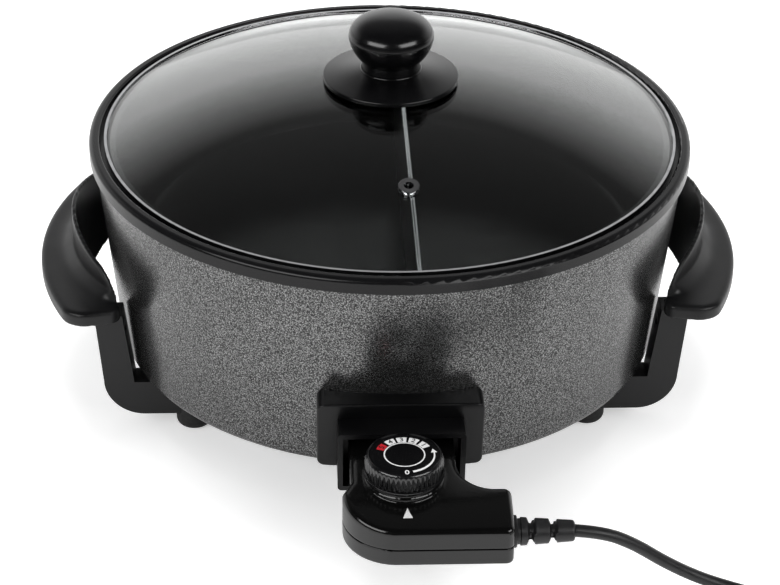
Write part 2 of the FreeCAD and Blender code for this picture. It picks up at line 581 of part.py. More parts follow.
def round_edges(body, radius, choose):
    """A fillet on the edges that choose() picks."""
    doc.recompute()
    tip = body.Tip
    names = [f"Edge{number}" for number, edge in enumerate(tip.Shape.Edges, 1) if choose(edge)]
    if not names:
        print("no edge to round:", body.Label)
        return
    fillet = body.newObject("PartDesign::Fillet", body.Label + "_fillet")
    fillet.Base = (tip, names)
    bind(fillet, "Radius", radius)


def set_place(item, across="0", along="0", up="0"):
    for axis, rule in zip("xyz", (across, along, up)):
        if rule != "0":
            bind(item, "Placement.Base." + axis, rule)
    return item


def make_box(label, low, lengths):
    box = doc.addObject("Part::Box", label)
    for field, rule in zip(("Length", "Width", "Height"), lengths):
        bind(box, field, rule)
    return set_place(box, *low)


TURNS = {
    "z": FreeCAD.Rotation(),
    "x": FreeCAD.Rotation(FreeCAD.Vector(0, 1, 0), 90),
    "-x": FreeCAD.Rotation(FreeCAD.Vector(0, 1, 0), -90),
    "-y": FreeCAD.Rotation(FreeCAD.Vector(1, 0, 0), 90),
}


def make_cylinder(label, radius, height, base, axis="z"):
    cylinder = doc.addObject("Part::Cylinder", label)
    bind(cylinder, "Radius", radius)
    bind(cylinder, "Height", height)
    cylinder.Placement = FreeCAD.Placement(FreeCAD.Vector(), TURNS[axis])
    return set_place(cylinder, *base)


def make_cone(label, low_radius, high_radius, height, up):
    cone = doc.addObject("Part::Cone", label)
    bind(cone, "Radius1", low_radius)
    bind(cone, "Radius2", high_radius)
    bind(cone, "Height", height)
    return set_place(cone, up=up)


def join(label, *pieces):
    fuse = doc.addObject("Part::MultiFuse", label)
    fuse.Shapes = list(pieces)
    return fuse


def overlap(label, *pieces):
    common = doc.addObject("Part::MultiCommon", label)
    common.Shapes = list(pieces)
    return common


def cut(label, base, *tools):
    result = doc.addObject("Part::Cut", label)
    result.Base = base
    result.Tool = tools[0] if len(tools) == 1 else join(label + "_tools", *tools)
    return result


def mirrored(label, source, normal):
    mirror = doc.addObject("Part::Mirroring", label)
    mirror.Source = source
    mirror.Normal = normal
    return mirror


def own_shape(label, shape):
    feature = doc.addObject("Part::Feature", label)
    feature.Shape = shape
    return feature


NODES = {}


def keep(label, item):
    item.Label = label
    NODES[label] = item
    return item


def casing_radius(height, extra="0"):
    """Rule for the casing's outer radius at a height."""
    return f"casingFoot + casingSlope * ({height} - casingFootTop) + ({extra})"


def casing_cone(label, extra, low, high):
    """A solid cone that follows the casing's outside, larger by extra."""
    return make_cone(label, casing_radius(low, extra), casing_radius(high, extra), f"{high} - ({low})", low)


def build_pan():
    profile = [
        ("0", "panFloorTop"),
        ("panFoot", "panFloorTop"),
        ("panMouth", "ledgeTop"),
        ("seatRadius", "ledgeTop"),
        ("seatRadius", "rimTop"),
        ("rimRadius", "rimTop"),
        ("rimRadius", "rimFoot"),
        ("rimRadius - rimWall", "rimFoot"),
        ("rimRadius - rimWall", "rimTop - rimWeb"),
        ("seatRadius + rimWall", "rimTop - rimWeb"),
        ("seatRadius + rimWall", "ledgeTop - ledgeSheet"),
        ("panMouth + panWall", "ledgeTop - ledgeSheet"),
        ("panFoot + panWall", "panUnder"),
        ("0", "panUnder"),
    ]
    body = turned_body("pan_insert", profile)
    round_edges(body, "panCorner", lambda edge: is_circle(edge, size("panFoot"), size("panFloorTop")))
    round_edges(body, "panCorner + panWall", lambda edge: is_circle(edge, size("panFoot + panWall"), size("panUnder")))
    round_edges(body, "rimDrop / 3", lambda edge: is_circle(edge, size("rimRadius"), size("rimTop")))
    round_edges(body, "rimWeb / 2", lambda edge: is_circle(edge, size("seatRadius"), size("rimTop")))
    studs = clamp_places()
    add_pad(body, "XY_Plane", "clampTop", "panUnder - clampTop", circles=[(x, y, "bossRadius") for x, y in studs])
    drop = "clampSheet + nutHeight + screwProud"
    add_pad(body, "XY_Plane", f"clampTop - ({drop})", drop, circles=[(x, y, "studRadius") for x, y in studs])
    keep("pan_insert", body)


# Off the axes, so that the element's ends and the probe stay clear.
CLAMP_ANGLES = (35, 145, 215, 325)


def clamp_places():
    """Rules for the four clamp studs."""
    places = []
    for angle in CLAMP_ANGLES:
        places.append((f"clampRing * cos({angle})", f"clampRing * sin({angle})"))
    return places


def build_casing():
    profile = [
        ("casingFlange", "casingClearance"),
        (casing_radius("casingClearance"), "casingClearance"),
        ("casingMouth", "casingTop"),
        ("casingMouth - casingSheet", "casingTop"),
        (casing_radius("bottomLow", "0 - casingSheet"), "bottomLow"),
        ("casingFlange", "bottomLow"),
    ]
    body = turned_body("casing_shell", profile)
    outer = size(casing_radius("casingClearance"))
    inner = size(casing_radius("bottomLow", "0 - casingSheet"))
    round_edges(body, "casingCorner", lambda edge: is_circle(edge, outer, size("casingClearance")))
    round_edges(body, "casingCorner - casingSheet", lambda edge: is_circle(edge, inner, size("bottomLow")))
    half = "blockWidth / 2 + windowGap"
    window = rectangle(f"-({half})", "pinHeight - blockHeight / 2 - windowGap", half,
                       "pinHeight + blockHeight / 2 + windowGap")
    add_pocket(body, "XZ_Plane", "casingFlange", "hoodFloor - casingFlange", window)
    screws = [(side + "inletScrewSpread", "inletScrewHeight", "screwRadius + fitGap") for side in ("-", "")]
    add_pocket(body, "XZ_Plane", "casingFlange", "hoodFloor - casingFlange", circles=screws)
    holes = [(x, y, "screwRadius + fitGap") for x, y in corner_places("footPlace") + corner_places("legScrewPlace")]
    add_pocket(body, "XY_Plane", "0", "casingClearance + casingSheet * 2", circles=holes)
    keep("casing_shell", body)

    plate = make_body("bottom_plate")
    add_pad(plate, "XY_Plane", "bottomLow", "bottomSheet", circles=[("0", "0", "bottomRadius")])
    add_pocket(plate, "XY_Plane", "0", "bottomTop + bottomSheet", circles=holes)
    slot = [
        ("ventRing - ventLength / 2", "-ventWidth / 2"),
        ("ventRing + ventLength / 2", "-ventWidth / 2", "ventWidth / 2 + fitGap"),
        ("ventRing + ventLength / 2", "ventWidth / 2"),
        ("ventRing - ventLength / 2", "ventWidth / 2", "ventWidth / 2 + fitGap"),
    ]
    pocket = add_pocket(plate, "XY_Plane", "0", "bottomTop + bottomSheet", slot)
    add_polar_pattern(plate, pocket, "12")
    keep("bottom_plate", plate)

    shield = turned_body("heat_shield", [
        ("0", "bottomTop + shieldHeight"),
        ("0", "bottomTop + shieldHeight - shieldSheet"),
        ("shieldRadius", "bottomTop + shieldHeight - shieldSheet"),
        ("shieldRadius + shieldHeight", "bottomTop"),
        ("shieldRadius + shieldHeight + shieldBrim", "bottomTop"),
        ("shieldRadius + shieldHeight + shieldBrim", "bottomTop + shieldSheet"),
        ("shieldRadius + shieldHeight + shieldSheet", "bottomTop + shieldSheet"),
        ("shieldRadius + shieldSheet", "bottomTop + shieldHeight"),
    ])
    keep("heat_shield", shield)


def add_polar_pattern(body, feature, count, angle=360):
    pattern = body.newObject("PartDesign::PolarPattern", body.Label + "_pattern")
    pattern.Originals = [feature]
    axes = [item for item in body.Origin.OriginFeatures if item.Role == "Z_Axis"]
    pattern.Axis = (axes[0], [""])
    pattern.Angle = angle
    bind(pattern, "Occurrences", count)
    body.Tip = pattern
    return pattern


def corner_places(across):
    """Rules for four places on the legs' middle planes."""
    return [(side + across, end + "legPlace") for side in ("", "-") for end in ("-", "")]


def build_fasteners():
    seat = "footSink"
    feet = corner_places("footPlace")
    keep("foot_screws", stacked_body("foot_screws", "XY_Plane", feet, [
        ("headRadius", None, f"{seat} - headHeight", "headHeight"),
        ("screwRadius", None, seat, f"bottomTop + nutHeight + screwProud - {seat}"),
    ]))
    sink = "barLow + legScrewSink"
    bars = corner_places("legScrewPlace")
    keep("leg_screws", stacked_body("leg_screws", "XY_Plane", bars, [
        ("headRadius", None, f"{sink} - headHeight", "headHeight"),
        ("screwRadius", None, sink, f"bottomTop + nutHeight + screwProud - ({sink})"),
    ]))
    keep("leg_nuts", stacked_body("leg_nuts", "XY_Plane", feet + bars, [
        ("nutRadius", "screwRadius + fitGap", "bottomTop", "nutHeight"),
    ]))


def path_with_arcs(points, radii):
    """Straight runs joined by tangent arcs, one radius per inner point."""
    edges = []
    start = points[0]
    for number in range(1, len(points) - 1):
        before, corner, after = points[number - 1:number + 2]
        inward = (corner - before).normalize()
        outward = (after - corner).normalize()
        turn = inward.getAngle(outward)
        reach = radii[number - 1] * math.tan(turn / 2)
        first = corner - inward * reach
        last = corner + outward * reach
        bisector = (outward - inward).normalize()
        depth = radii[number - 1] / math.cos(turn / 2) - radii[number - 1]
        middle = corner + bisector * depth
        if (first - start).Length > 1e-6:
            edges.append(Part.LineSegment(start, first).toShape())
        edges.append(Part.Arc(first, middle, last).toShape())
        start = last
    edges.append(Part.LineSegment(start, points[-1]).toShape())
    return Part.Wire(edges)


def tube_along(wire, radius, start, direction):
    face = Part.Face(Part.Wire([Part.Circle(start, direction, radius).toShape()]))
    tube = wire.makePipe(face)
    expected = math.pi * radius ** 2 * wire.Length
    if abs(tube.Volume / expected - 1) > 0.01:
        print("tube volume is off:", tube.Volume, expected)
    return tube


def element_half(side):
    """One half of the element's centre line, from a cold end to the back of its ring."""
    spread = size("pinSpread")
    ring = size("elementRadius")
    height = size("elementHeight")
    low = size("pinHeight")
    root = size("pinRoot")
    turn = size("elementTube") * 3.4
    lead = math.sqrt((ring + turn) ** 2 - (spread + turn) ** 2)
    rise = (height - low) * 0.95
    points = [
        FreeCAD.Vector(spread, -root, low),
        FreeCAD.Vector(spread, -(lead + turn / 2 + rise), low),
        FreeCAD.Vector(spread, -(lead + turn / 2), height),
        FreeCAD.Vector(spread, -lead, height),
    ]
    edges = path_with_arcs(points, [turn * 0.7, turn * 0.7]).Edges
    centre = FreeCAD.Vector(spread + turn, -lead, height)
    inward = FreeCAD.Vector(-centre.x, -centre.y, 0).normalize()
    meeting = centre + inward * turn
    middle = (FreeCAD.Vector(-1, 0, 0) + inward).normalize() * turn + centre
    edges.append(Part.Arc(points[-1], middle, meeting).toShape())
    top = FreeCAD.Vector(0, ring, height)
    angle = (math.atan2(meeting.y, meeting.x) + math.pi / 2) / 2
    halfway = FreeCAD.Vector(ring * math.cos(angle), ring * math.sin(angle), height)
    edges.append(Part.Arc(meeting, halfway, top).toShape())
    wire = Part.Wire(edges)
    radius = size("elementTube")
    tube = tube_along(wire, radius, points[0], FreeCAD.Vector(0, 1, 0))
    if side < 0:
        tube = tube.mirror(FreeCAD.Vector(), FreeCAD.Vector(1, 0, 0))
    return tube


def build_heating():
    keep("heating_element", own_shape("heating_element", element_half(1).fuse(element_half(-1)).removeSplitter()))

    straps = make_body("element_clamps")
    inner = "clampRing - bossRadius"
    strap = rectangle(inner, "-clampWidth / 2", f"{inner} + clampReach", "clampWidth / 2")
    sketch = make_sketch(straps, "XY_Plane", "clampTop - clampSheet")
    draw_outline(sketch, strap)
    draw_circle(sketch, "clampRing", "0", "studRadius + fitGap")
    pad = add_feature(straps, "Pad", sketch, "clampSheet")
    doc.recompute()
    straps_all = [turned_copy(pad, angle) for angle in CLAMP_ANGLES]
    straps.Visibility = False
    group = doc.addObject("Part::Compound", "element_clamps_group")
    group.Links = straps_all
    keep("element_clamps", group)
    keep("element_nuts", stacked_body("element_nuts", "XY_Plane", clamp_places(), [
        ("nutRadius", "studRadius + fitGap", "clampTop - clampSheet - nutHeight", "nutHeight"),
    ]))

    low = "pinHeight - sleeveDepth"
    block = make_box("sleeve_block", ("-sleeveWidth / 2", "-sleeveFront", low),
                     ("sleeveWidth", "sleeveLength", f"panUnder - ({low})"))
    guide = make_cylinder("sleeve_guide", "guideRadius", "blockBack - sleeveFront", ("0", "-sleeveFront", "pinHeight"), "-y")
    bore_radius = "probeRadius + probeFit"
    bore = make_cylinder("sleeve_bore", bore_radius, "blockBack - probeTip + 2", ("0", "1.5 - probeTip", "pinHeight"), "-y")
    keep("probe_sleeve", cut("probe_sleeve", join("sleeve_solid", block, guide), bore))


def turned_copy(source, angle):
    """A copy of a shape, turned about the pan's axis."""
    copy = doc.addObject("Part::Feature", f"{source.Name}_{angle}")
    copy.Shape = source.Shape
    copy.Placement = FreeCAD.Placement(FreeCAD.Vector(), FreeCAD.Rotation(FreeCAD.Vector(0, 0, 1), angle))
    return copy


def build_inlet():
    back = "inletPlate + casingFoot"
    plate = make_body("inlet_plate")
    half = "inletWidth / 2"
    high = "inletLow + inletHeight"
    draw = rectangle(f"-{half}", "inletLow", half, high)
    add_pad(plate, "XZ_Plane", "casingFlange", f"{back} + inletPlate - casingFlange + 6", draw)
    round_edges(plate, "inletCorner", lambda edge: runs_along(edge, "y"))
    outer = casing_cone("inlet_outer", "inletPlate", "casingFootTop - 5", high + " + 5")
    inner = casing_cone("inlet_inner", "0", "casingFootTop - 6", high + " + 6")
    curved = cut("inlet_curved", overlap("inlet_skin", plate, outer), inner)
    padded = round_piece("inlet_padded", curved, "inletRound", lambda edge: lies_on_cone(edge, "inletPlate"))

    hood = make_body("inlet_hood")
    side = "hoodWidth / 2"
    top = "hoodLow + hoodHeight"
    add_pad(hood, "XZ_Plane", "casingFlange", "hoodFront - casingFlange", rectangle(f"-{side}", "hoodLow", side, top))
    round_edges(hood, "hoodCorner", lambda edge: runs_along(edge, "y"))
    hood_shell = cut("inlet_hood_cut", hood, casing_cone("inlet_inner_low", "0", "hoodLow - 6", top + " + 6"))
    room = block_box("inlet_room", "fitGap", "blockBack - 10", "hoodFloor + 1")
    mouth = make_box("inlet_mouth", ("hoodWall - hoodWidth / 2", "-(hoodFront + 1)", "hoodLow + hoodWall"),
                     ("hoodWidth - 2 * hoodWall", "hoodFront + 1 - hoodFloor", "hoodHeight - 2 * hoodWall"))
    bosses = [screw_hole("inlet_boss", side) for side in ("-", "")]
    keep("inlet_housing", cut("inlet_housing", join("inlet_solid", padded, hood_shell), room, mouth, *bosses))

    block = block_box("block_solid", "0", "blockBack", "hoodFloor")
    holes = [make_cylinder("block_pin", "pinRadius + fitGap", "20", (side + "pinSpread", "5 - blockBack", "pinHeight"), "-y")
             for side in ("-", "")]
    probe = make_cylinder("block_probe", "guideRadius + fitGap", "40", ("0", "20 - blockBack", "pinHeight"), "-y")
    keep("terminal_block", cut("terminal_block", block, probe, *holes))

    for name, sign in (("left", "-"), ("right", "")):
        place = [(sign + "pinSpread", "pinHeight")]
        keep(name + "_terminal_pin", stacked_body(name + "_terminal_pin", "XZ_Plane", place, [
            ("pinRadius", None, "pinRoot", "pinTip - pinRoot"),
            ("pinCollar", None, "blockBack - pinCollar", "pinCollar"),
        ]))
    strip = make_box("earth_strip", ("-earthWidth / 2", "1 - hoodFront", "hoodLow + hoodHeight - hoodWall - earthSheet"),
                     ("earthWidth", "hoodFront - hoodFloor - 1", "earthSheet"))
    keep("earth_spring", strip)
    places = [(side + "inletScrewSpread", "inletScrewHeight") for side in ("-", "")]
    screws = stacked_body("inlet_screws", "XZ_Plane", places, [
        ("headRadius", None, "inletScrewSeat - headHeight", "headHeight"),
        ("screwRadius", None, "inletScrewSeat", "inletPlate + 1"),
    ])
    keep("inlet_screws", screws)


def round_piece(label, piece, radius, choose):
    """A piece with the edges rounded that choose() picks."""
    doc.recompute()
    numbers = [number for number, edge in enumerate(piece.Shape.Edges, 1) if choose(edge)]
    if not numbers:
        print("no edge to round:", label)
    fillet = doc.addObject("Part::Fillet", label)
    fillet.Base = piece
    fillet.Edges = [(number, size(radius), size(radius)) for number in numbers]
    return fillet


def lies_on_cone(edge, extra):
    """Whether an edge lies on the cone that is larger than the casing by extra."""
    for point in edge.discretize(5):
        rule = casing_radius(str(round(point.z, 6)), extra)
        if abs(math.hypot(point.x, point.y) - size(rule)) > 0.01:
            return False
    return True


def block_box(label, gap, back, front):
    half = f"blockWidth / 2 + {gap}"
    return make_box(label, (f"-({half})", f"-({front})", f"pinHeight - blockHeight / 2 - {gap}"),
                    (f"2 * ({half})", f"{front} - ({back})", f"blockHeight + 2 * {gap}"))


def screw_hole(label, side):
    return make_cylinder(label, "screwRadius + fitGap", "inletPlate + 6.4",
                         (side + "inletScrewSpread", "5 - inletScrewSeat", "inletScrewHeight"), "-y")


def runs_along(edge, axis):
    """Whether a straight edge is parallel to an axis."""
    if not isinstance(edge.Curve, Part.Line):
        return False
    direction = edge.Curve.Direction
    return abs(getattr(direction, axis)) > 0.999


def outer_edge(along):
    """Rule for the outer edge's distance at a place along the handle."""
    return f"sweepCentre + sqrt(handleSweep^2 - ({along})^2)"


def guard_edge(along, extra="0"):
    """Rule for the guard's face at a place along the handle."""
    return f"guardCentre + sqrt((guardSweep + {extra})^2 - ({along})^2)"


def build_handle():
    """The right handle: crescent plate with a lip, hollow below, and an arched guard wall."""
    body = make_body("handle_form")
    outer_share = "handleSweep / (handleSweep - noseRound)"
    outer = (f"sweepCentre + (noseAcross - sweepCentre) * {outer_share}", f"noseAlong * {outer_share}")
    tip = ("noseAcross - noseRound * sin(noseSlope)", "noseAlong + noseRound * cos(noseSlope)")
    heel = ("heelAcross - noseHeel * sin(noseSlope)", "heelAlong + noseHeel * cos(noseSlope)")
    inner_share = "guardSweep / (guardSweep + noseHeel)"
    inner = (f"guardCentre + (heelAcross - guardCentre) * {inner_share}", f"heelAlong * {inner_share}")
    crescent = [
        (outer[0], f"-({outer[1]})", "handleSweep"),
        (outer[0], outer[1], "noseRound"),
        (tip[0], tip[1]),
        (heel[0], heel[1], "noseHeel"),
        (inner[0], inner[1], "-guardSweep"),
        (inner[0], f"-({inner[1]})", "noseHeel"),
        (heel[0], f"-({heel[1]})"),
        (tip[0], f"-({tip[1]})", "noseRound"),
    ]
    add_pad(body, "XY_Plane", "handleLow", "handleLip", crescent)
    round_edges(body, "handleWeb * 0.6", lambda edge: lies_at(edge, "handleTop"))
    band = [
        (guard_edge("guardFade"), "-guardFade", "guardSweep"),
        (guard_edge("guardFade"), "guardFade"),
        (guard_edge("guardFade", "guardWall"), "guardFade", "-(guardSweep + guardWall)"),
        (guard_edge("guardFade", "guardWall"), "-guardFade"),
    ]
    add_pad(body, "XY_Plane", "handleTop - guardDrop", "guardDrop + guardRise", band)
    skirt = "handleTop - guardDrop"
    under = [
        ("-guardFade - pastEdge", f"{skirt} - pastEdge"),
        ("-guardFade - pastEdge", "handleLow"),
        ("-guardHalf", "handleLow"),
        ("-guardHalf", f"{skirt} + guardArc + guardCorner", "guardCorner"),
        ("guardCorner - guardHalf", f"{skirt} + guardArc",
         "((guardHalf - guardCorner)^2 + guardArc^2) / (2 * guardArc)"),
        ("guardHalf - guardCorner", f"{skirt} + guardArc", "guardCorner"),
        ("guardHalf", f"{skirt} + guardArc + guardCorner"),
        ("guardHalf", "handleLow"),
        ("guardFade + pastEdge", "handleLow"),
        ("guardFade + pastEdge", f"{skirt} - pastEdge"),
    ]
    add_pocket(body, "YZ_Plane", "0", "handleReach", under)
    hollow = [
        (outer_edge("hollowHalf") + " - handleWall", "-hollowHalf", "handleSweep - handleWall"),
        (outer_edge("hollowHalf") + " - handleWall", "hollowHalf"),
        (guard_edge("hollowHalf", "guardWall"), "hollowHalf", "-(guardSweep + guardWall)"),
        (guard_edge("hollowHalf", "guardWall"), "-hollowHalf"),
    ]
    add_pocket(body, "XY_Plane", "handleLow", "handleLip - handleWeb", hollow)
    for along in ("-hollowHalf / 3", "hollowHalf / 3"):
        rib = rectangle("guardReach", f"{along} - ribSheet / 2", "handleReach - handleWall", f"{along} + ribSheet / 2")
        add_pad(body, "XY_Plane", "handleLow + handleWall", "handleLip - handleWeb - handleWall + 1", rib)
    for end in ("-", ""):
        add_pad(body, "XY_Plane", "handleLow - tongueDeep", "tongueDeep + 1", tongue(end, "0"))
    return cut("handle_shaped", join("handle_with_blend", body, guard_blend()), above_guard())


def guard_blend():
    """The hollow blend between the guard's outer face and the plate."""
    ring = turned_body("guard_blend_ring", [
        ("guardSweep + guardWall / 2", "handleTop - handleWeb / 2"),
        ("guardSweep + guardWall + blendWidth", "handleTop - handleWeb / 2"),
        ("guardSweep + guardWall + blendWidth", "handleTop - blendSink", "-blendRound"),
        ("guardSweep + guardWall / 2", "handleTop + blendRise"),
    ])
    ring = set_place(ring, "guardCentre")
    room = make_box("guard_blend_room", ("guardCentre", "-guardFade", "handleTop - handleWeb"),
                    ("guardSweep * 2", "guardFade * 2", "guardRise"))
    return overlap("guard_blend", ring, room)


def above_guard():
    """The space over the guard's arched top and over the plate beyond its ends."""
    space = make_body("above_guard")
    add_pad(space, "YZ_Plane", "guardCentre", "guardSweep * 2", [
        ("-guardFade - pastEdge", "handleTop + guardRise + pastEdge"),
        ("-guardFade - pastEdge", "handleTop"),
        ("-guardFade", "handleTop", "-guardEndRound"),
        ("-guardTurn", "handleTop + guardShoulder",
         "-(guardTurn^2 + (guardRise - guardShoulder)^2) / (2 * (guardRise - guardShoulder))"),
        ("guardTurn", "handleTop + guardShoulder", "-guardEndRound"),
        ("guardFade", "handleTop"),
        ("guardFade + pastEdge", "handleTop"),
        ("guardFade + pastEdge", "handleTop + guardRise + pastEdge"),
    ])
    return space


def tongue(end, gap):
    """Outline of the tongue that sits in a post."""
    inner = "postInner + tongueWall - postTaper * 0.4"
    middle = f"{end}legPlace"
    return rectangle(f"{inner} - {gap}", f"{middle} - tongueWidth / 2 - {gap}",
                     f"{inner} + tongueThick + {gap}", f"{middle} + tongueWidth / 2 + {gap}")


def build_leg():
    """The front right leg: post and bar with a round boss for the foot."""
    body = make_body("leg_form")
    low_outer = "postOuter - postLean"
    low_inner = "postInner - postTaper"
    profile = [
        ("postInner", "handleLow"),
        (low_inner, "casingClearance"),
        ("footPlace", "casingClearance"),
        ("footPlace", "barLow"),
        (f"{low_outer} - barBend", "barLow", "barBend"),
        (low_outer, "barLow + barBend"),
        ("postOuter", "handleLow"),
    ]
    add_pad(body, "XZ_Plane", "legPlace - legDepth / 2", "legDepth", profile)
    add_pad(body, "XY_Plane", "footHeight", "casingClearance - footHeight",
            circles=[("footPlace", "-legPlace", "footRadius")])
    add_pocket(body, "XY_Plane", "handleLow - tongueDeep - tongueFit", "tongueDeep + tongueFit + 1",
               tongue("-", "tongueFit"))
    hole = "screwRadius + fitGap"
    add_pocket(body, "XY_Plane", "0", "casingClearance + 1",
               circles=[("footPlace", "-legPlace", hole), ("legScrewPlace", "-legPlace", hole)])
    add_pocket(body, "XY_Plane", "0", "barLow + legScrewSink",
               circles=[("legScrewPlace", "-legPlace", "headRadius + 0.3")])
    start = "postInner - postTaper - 2"
    add_pocket(body, "YZ_Plane", start, "tongueWall + postTaper", circles=[("-legPlace", "handleScrewHeight", hole)])
    recess = [("-legPlace", "handleScrewHeight", "headRadius + tongueFit")]
    add_pocket(body, "YZ_Plane", start, f"handleScrewSeat - ({start})", circles=recess)
    return body


def build_stand():
    handle = build_handle()
    leg = build_leg()
    doc.recompute()
    screw_length = "tongueWall + 4.2"
    holes = []
    for end in ("-", ""):
        base = ("postInner - screwProud", end + "legPlace", "handleScrewHeight")
        reach = f"handleScrewSeat + {screw_length} - postInner + screwProud"
        holes.append(make_cylinder("handle_hole", "screwRadius", reach, base, "x"))
    right = keep("right_handle", cut("right_handle", handle, *holes))
    x_way = FreeCAD.Vector(1, 0, 0)
    y_way = FreeCAD.Vector(0, 1, 0)
    keep("left_handle", mirrored("left_handle", right, x_way))
    front_right = keep("front_right_leg", leg)
    rear_right = keep("rear_right_leg", mirrored("rear_right_leg", front_right, y_way))
    keep("front_left_leg", mirrored("front_left_leg", front_right, x_way))
    keep("rear_left_leg", mirrored("rear_left_leg", rear_right, x_way))
    screws = []
    for side, axis in (("", "x"), ("-", "-x")):
        for end in ("-", ""):
            head_base = (f"{side}(handleScrewSeat - headHeight)", end + "legPlace", "handleScrewHeight")
            shank_base = (f"{side}handleScrewSeat", end + "legPlace", "handleScrewHeight")
            head = make_cylinder("handle_screw_head", "headRadius", "headHeight", head_base, axis)
            shank = make_cylinder("handle_screw_shank", "screwRadius", screw_length, shank_base, axis)
            screws.append(join("handle_screw", head, shank))
    group = doc.addObject("Part::Compound", "handle_screws")
    group.Links = screws
    keep("handle_screws", group)

    foot_names = ("front_right_foot", "rear_right_foot", "front_left_foot", "rear_left_foot")
    for name, (across, along) in zip(foot_names, corner_places("footPlace")):
        foot = turned_body(name, [
            ("headRadius + 0.6", "0"),
            ("footRadius", "0"),
            ("footRadius", "footHeight"),
            ("screwRadius + fitGap", "footHeight"),
            ("screwRadius + fitGap", "footSink"),
            ("headRadius + 0.6", "footSink"),
        ])
        round_edges(foot, "footRound", lambda edge: is_circle(edge, size("footRadius"), 0))
        keep(name, set_place(foot, across, along))


def dome_height(radius, drop="0"):
    """Rule for the glass's surface at a radius, lowered by drop."""
    return f"domeCentre + sqrt((domeRadius - {drop})^2 - ({radius})^2)"


def lay_on_dome(item, lift):
    """Turns an upright piece to stand square on the glass at the vent's place."""
    across = size("ventSide")
    along = -size("ventPlace")
    radius = size("domeRadius")
    normal = FreeCAD.Vector(across, along, math.sqrt(radius ** 2 - across ** 2 - along ** 2)).normalize()
    foot = FreeCAD.Vector(0, 0, size("domeCentre")) + normal * (radius + size(lift))
    item.Placement = FreeCAD.Placement(foot, FreeCAD.Rotation(FreeCAD.Vector(0, 0, 1), normal))


def build_lid():
    glass = turned_body("lid_glass_form", [
        ("glassHole", dome_height("glassHole", "glassSheet"), "-(domeRadius - glassSheet)"),
        ("domeFoot", dome_height("domeFoot", "glassSheet")),
        ("glassEdge", "glassTop - glassSheet"),
        ("glassEdge", "glassTop"),
        ("domeFoot", "glassTop", "domeRadius"),
        ("glassHole", dome_height("glassHole")),
    ])
    barrel = make_cylinder("vent_hole", "ventBody", "glassSheet * 4", ("0", "0", "0"))
    lay_on_dome(barrel, "-2 * glassSheet")
    keep("lid_glass", cut("lid_glass", glass, barrel))

    keep("lid_hoop", turned_body("lid_hoop", [
        ("lidRadius - hoopLip", "hoopTop"),
        ("lidRadius - hoopLip", "hoopTop - hoopSheet"),
        ("lidRadius - hoopSheet", "hoopTop - hoopSheet"),
        ("lidRadius - hoopSheet", "hoopLow + hoopSheet"),
        ("lidRadius - hoopFoot", "hoopLow + hoopSheet"),
        ("lidRadius - hoopFoot", "hoopLow"),
        ("lidRadius", "hoopLow"),
        ("lidRadius", "hoopTop"),
    ]))

    crimp = "glassSheet + fitGap"
    keep("vent_eyelet", stacked_body("vent_eyelet", "XY_Plane", [("0", "0")], [
        ("ventRadius", "ventBore", "0", "ventFlange"),
        ("ventBody - fitGap", "ventBore", f"-({crimp})", crimp),
        ("ventRadius", "ventBore", f"-({crimp} + ventFlange)", "ventFlange"),
    ]))
    lay_on_dome(NODES["vent_eyelet"], "0")

    edge_low = dome_height("baseRadius") + " + baseLift"
    seat = dome_height("baseSeat")
    neck = f"{edge_low} + baseEdge + baseRise"
    base = turned_body("knob_base", [
        ("glassHole", dome_height("glassHole"), "-domeRadius"),
        ("baseSeat", seat),
        ("baseSeat", f"{seat} + baseWall"),
        ("baseRadius - baseWall", f"{edge_low} + 0.4"),
        ("baseRadius - baseWall / 2", edge_low),
        ("baseRadius", edge_low),
        ("baseRadius", f"{edge_low} + baseEdge", "4 * baseRadius"),
        ("neckRadius", neck),
        ("glassHole", neck),
    ])
    keep("knob_base", base)
    widest = f"{neck} + knobWaist"
    knob = turned_body("lid_knob", [
        ("screwRadius + fitGap", neck),
        ("neckRadius", neck, "-3 * knobWaist"),
        ("knobRadius", widest, "knobCap"),
        ("0", f"{widest} + knobDome"),
        ("0", f"{neck} + knobHollow"),
        ("screwRadius + fitGap", f"{neck} + knobHollow"),
    ])
    keep("lid_knob", knob)
    bore = "(screwRadius + fitGap)"
    rim = dome_height("washerRadius", "glassSheet") + " - fitGap"
    keep("knob_washer", turned_body("knob_washer", [
        (bore, f"{rim} - washerHeight"),
        ("washerRadius", f"{rim} - washerHeight"),
        ("washerRadius", rim, "domeRadius - glassSheet"),
        (bore, dome_height(bore, "glassSheet") + " - fitGap"),
    ]))
    seat_low = f"{rim} - washerHeight"
    keep("knob_screw", stacked_body("knob_screw", "XY_Plane", [("0", "0")], [
        ("headRadius", None, f"{seat_low} - headHeight", "headHeight"),
        ("screwRadius", None, seat_low, f"{neck} + knobHollow - 0.5 - ({seat_low})"),
    ]))


def build_divider():
    body = make_body("divider_plate")
    low = "panFloorTop + dividerGap"
    high = "rimTop - dividerDrop"
    slope = "(panMouth - panFoot) / (ledgeTop - panFloorTop)"
    mouth = f"sqrt((panFoot + {slope} * ({high} - panFloorTop))^2 - (dividerSide + dividerSheet)^2) - dividerGap"
    shoulder = "panCorner + 2"
    wall = f"sqrt((panFoot + {slope} * ({shoulder}))^2 - (dividerSide + dividerSheet)^2) - dividerGap"
    corner = "panCorner * 1.1"
    outline = [
        (f"{corner} - ({wall})", low),
        (f"{wall} - {corner}", low),
        (wall, f"panFloorTop + {shoulder}"),
        (mouth, high),
        (f"-({mouth})", high),
        (f"-({wall})", f"panFloorTop + {shoulder}"),
    ]
    add_pad(body, "YZ_Plane", "dividerSide - dividerSheet / 2", "dividerSheet", outline)
    bead = make_cylinder("divider_bead", "dividerBead", f"2 * ({mouth}) - 4", ("dividerSide", f"{mouth} - 2", high), "-y")
    doc.recompute()
    keep("divider_plate", join("divider_plate", body, bead))


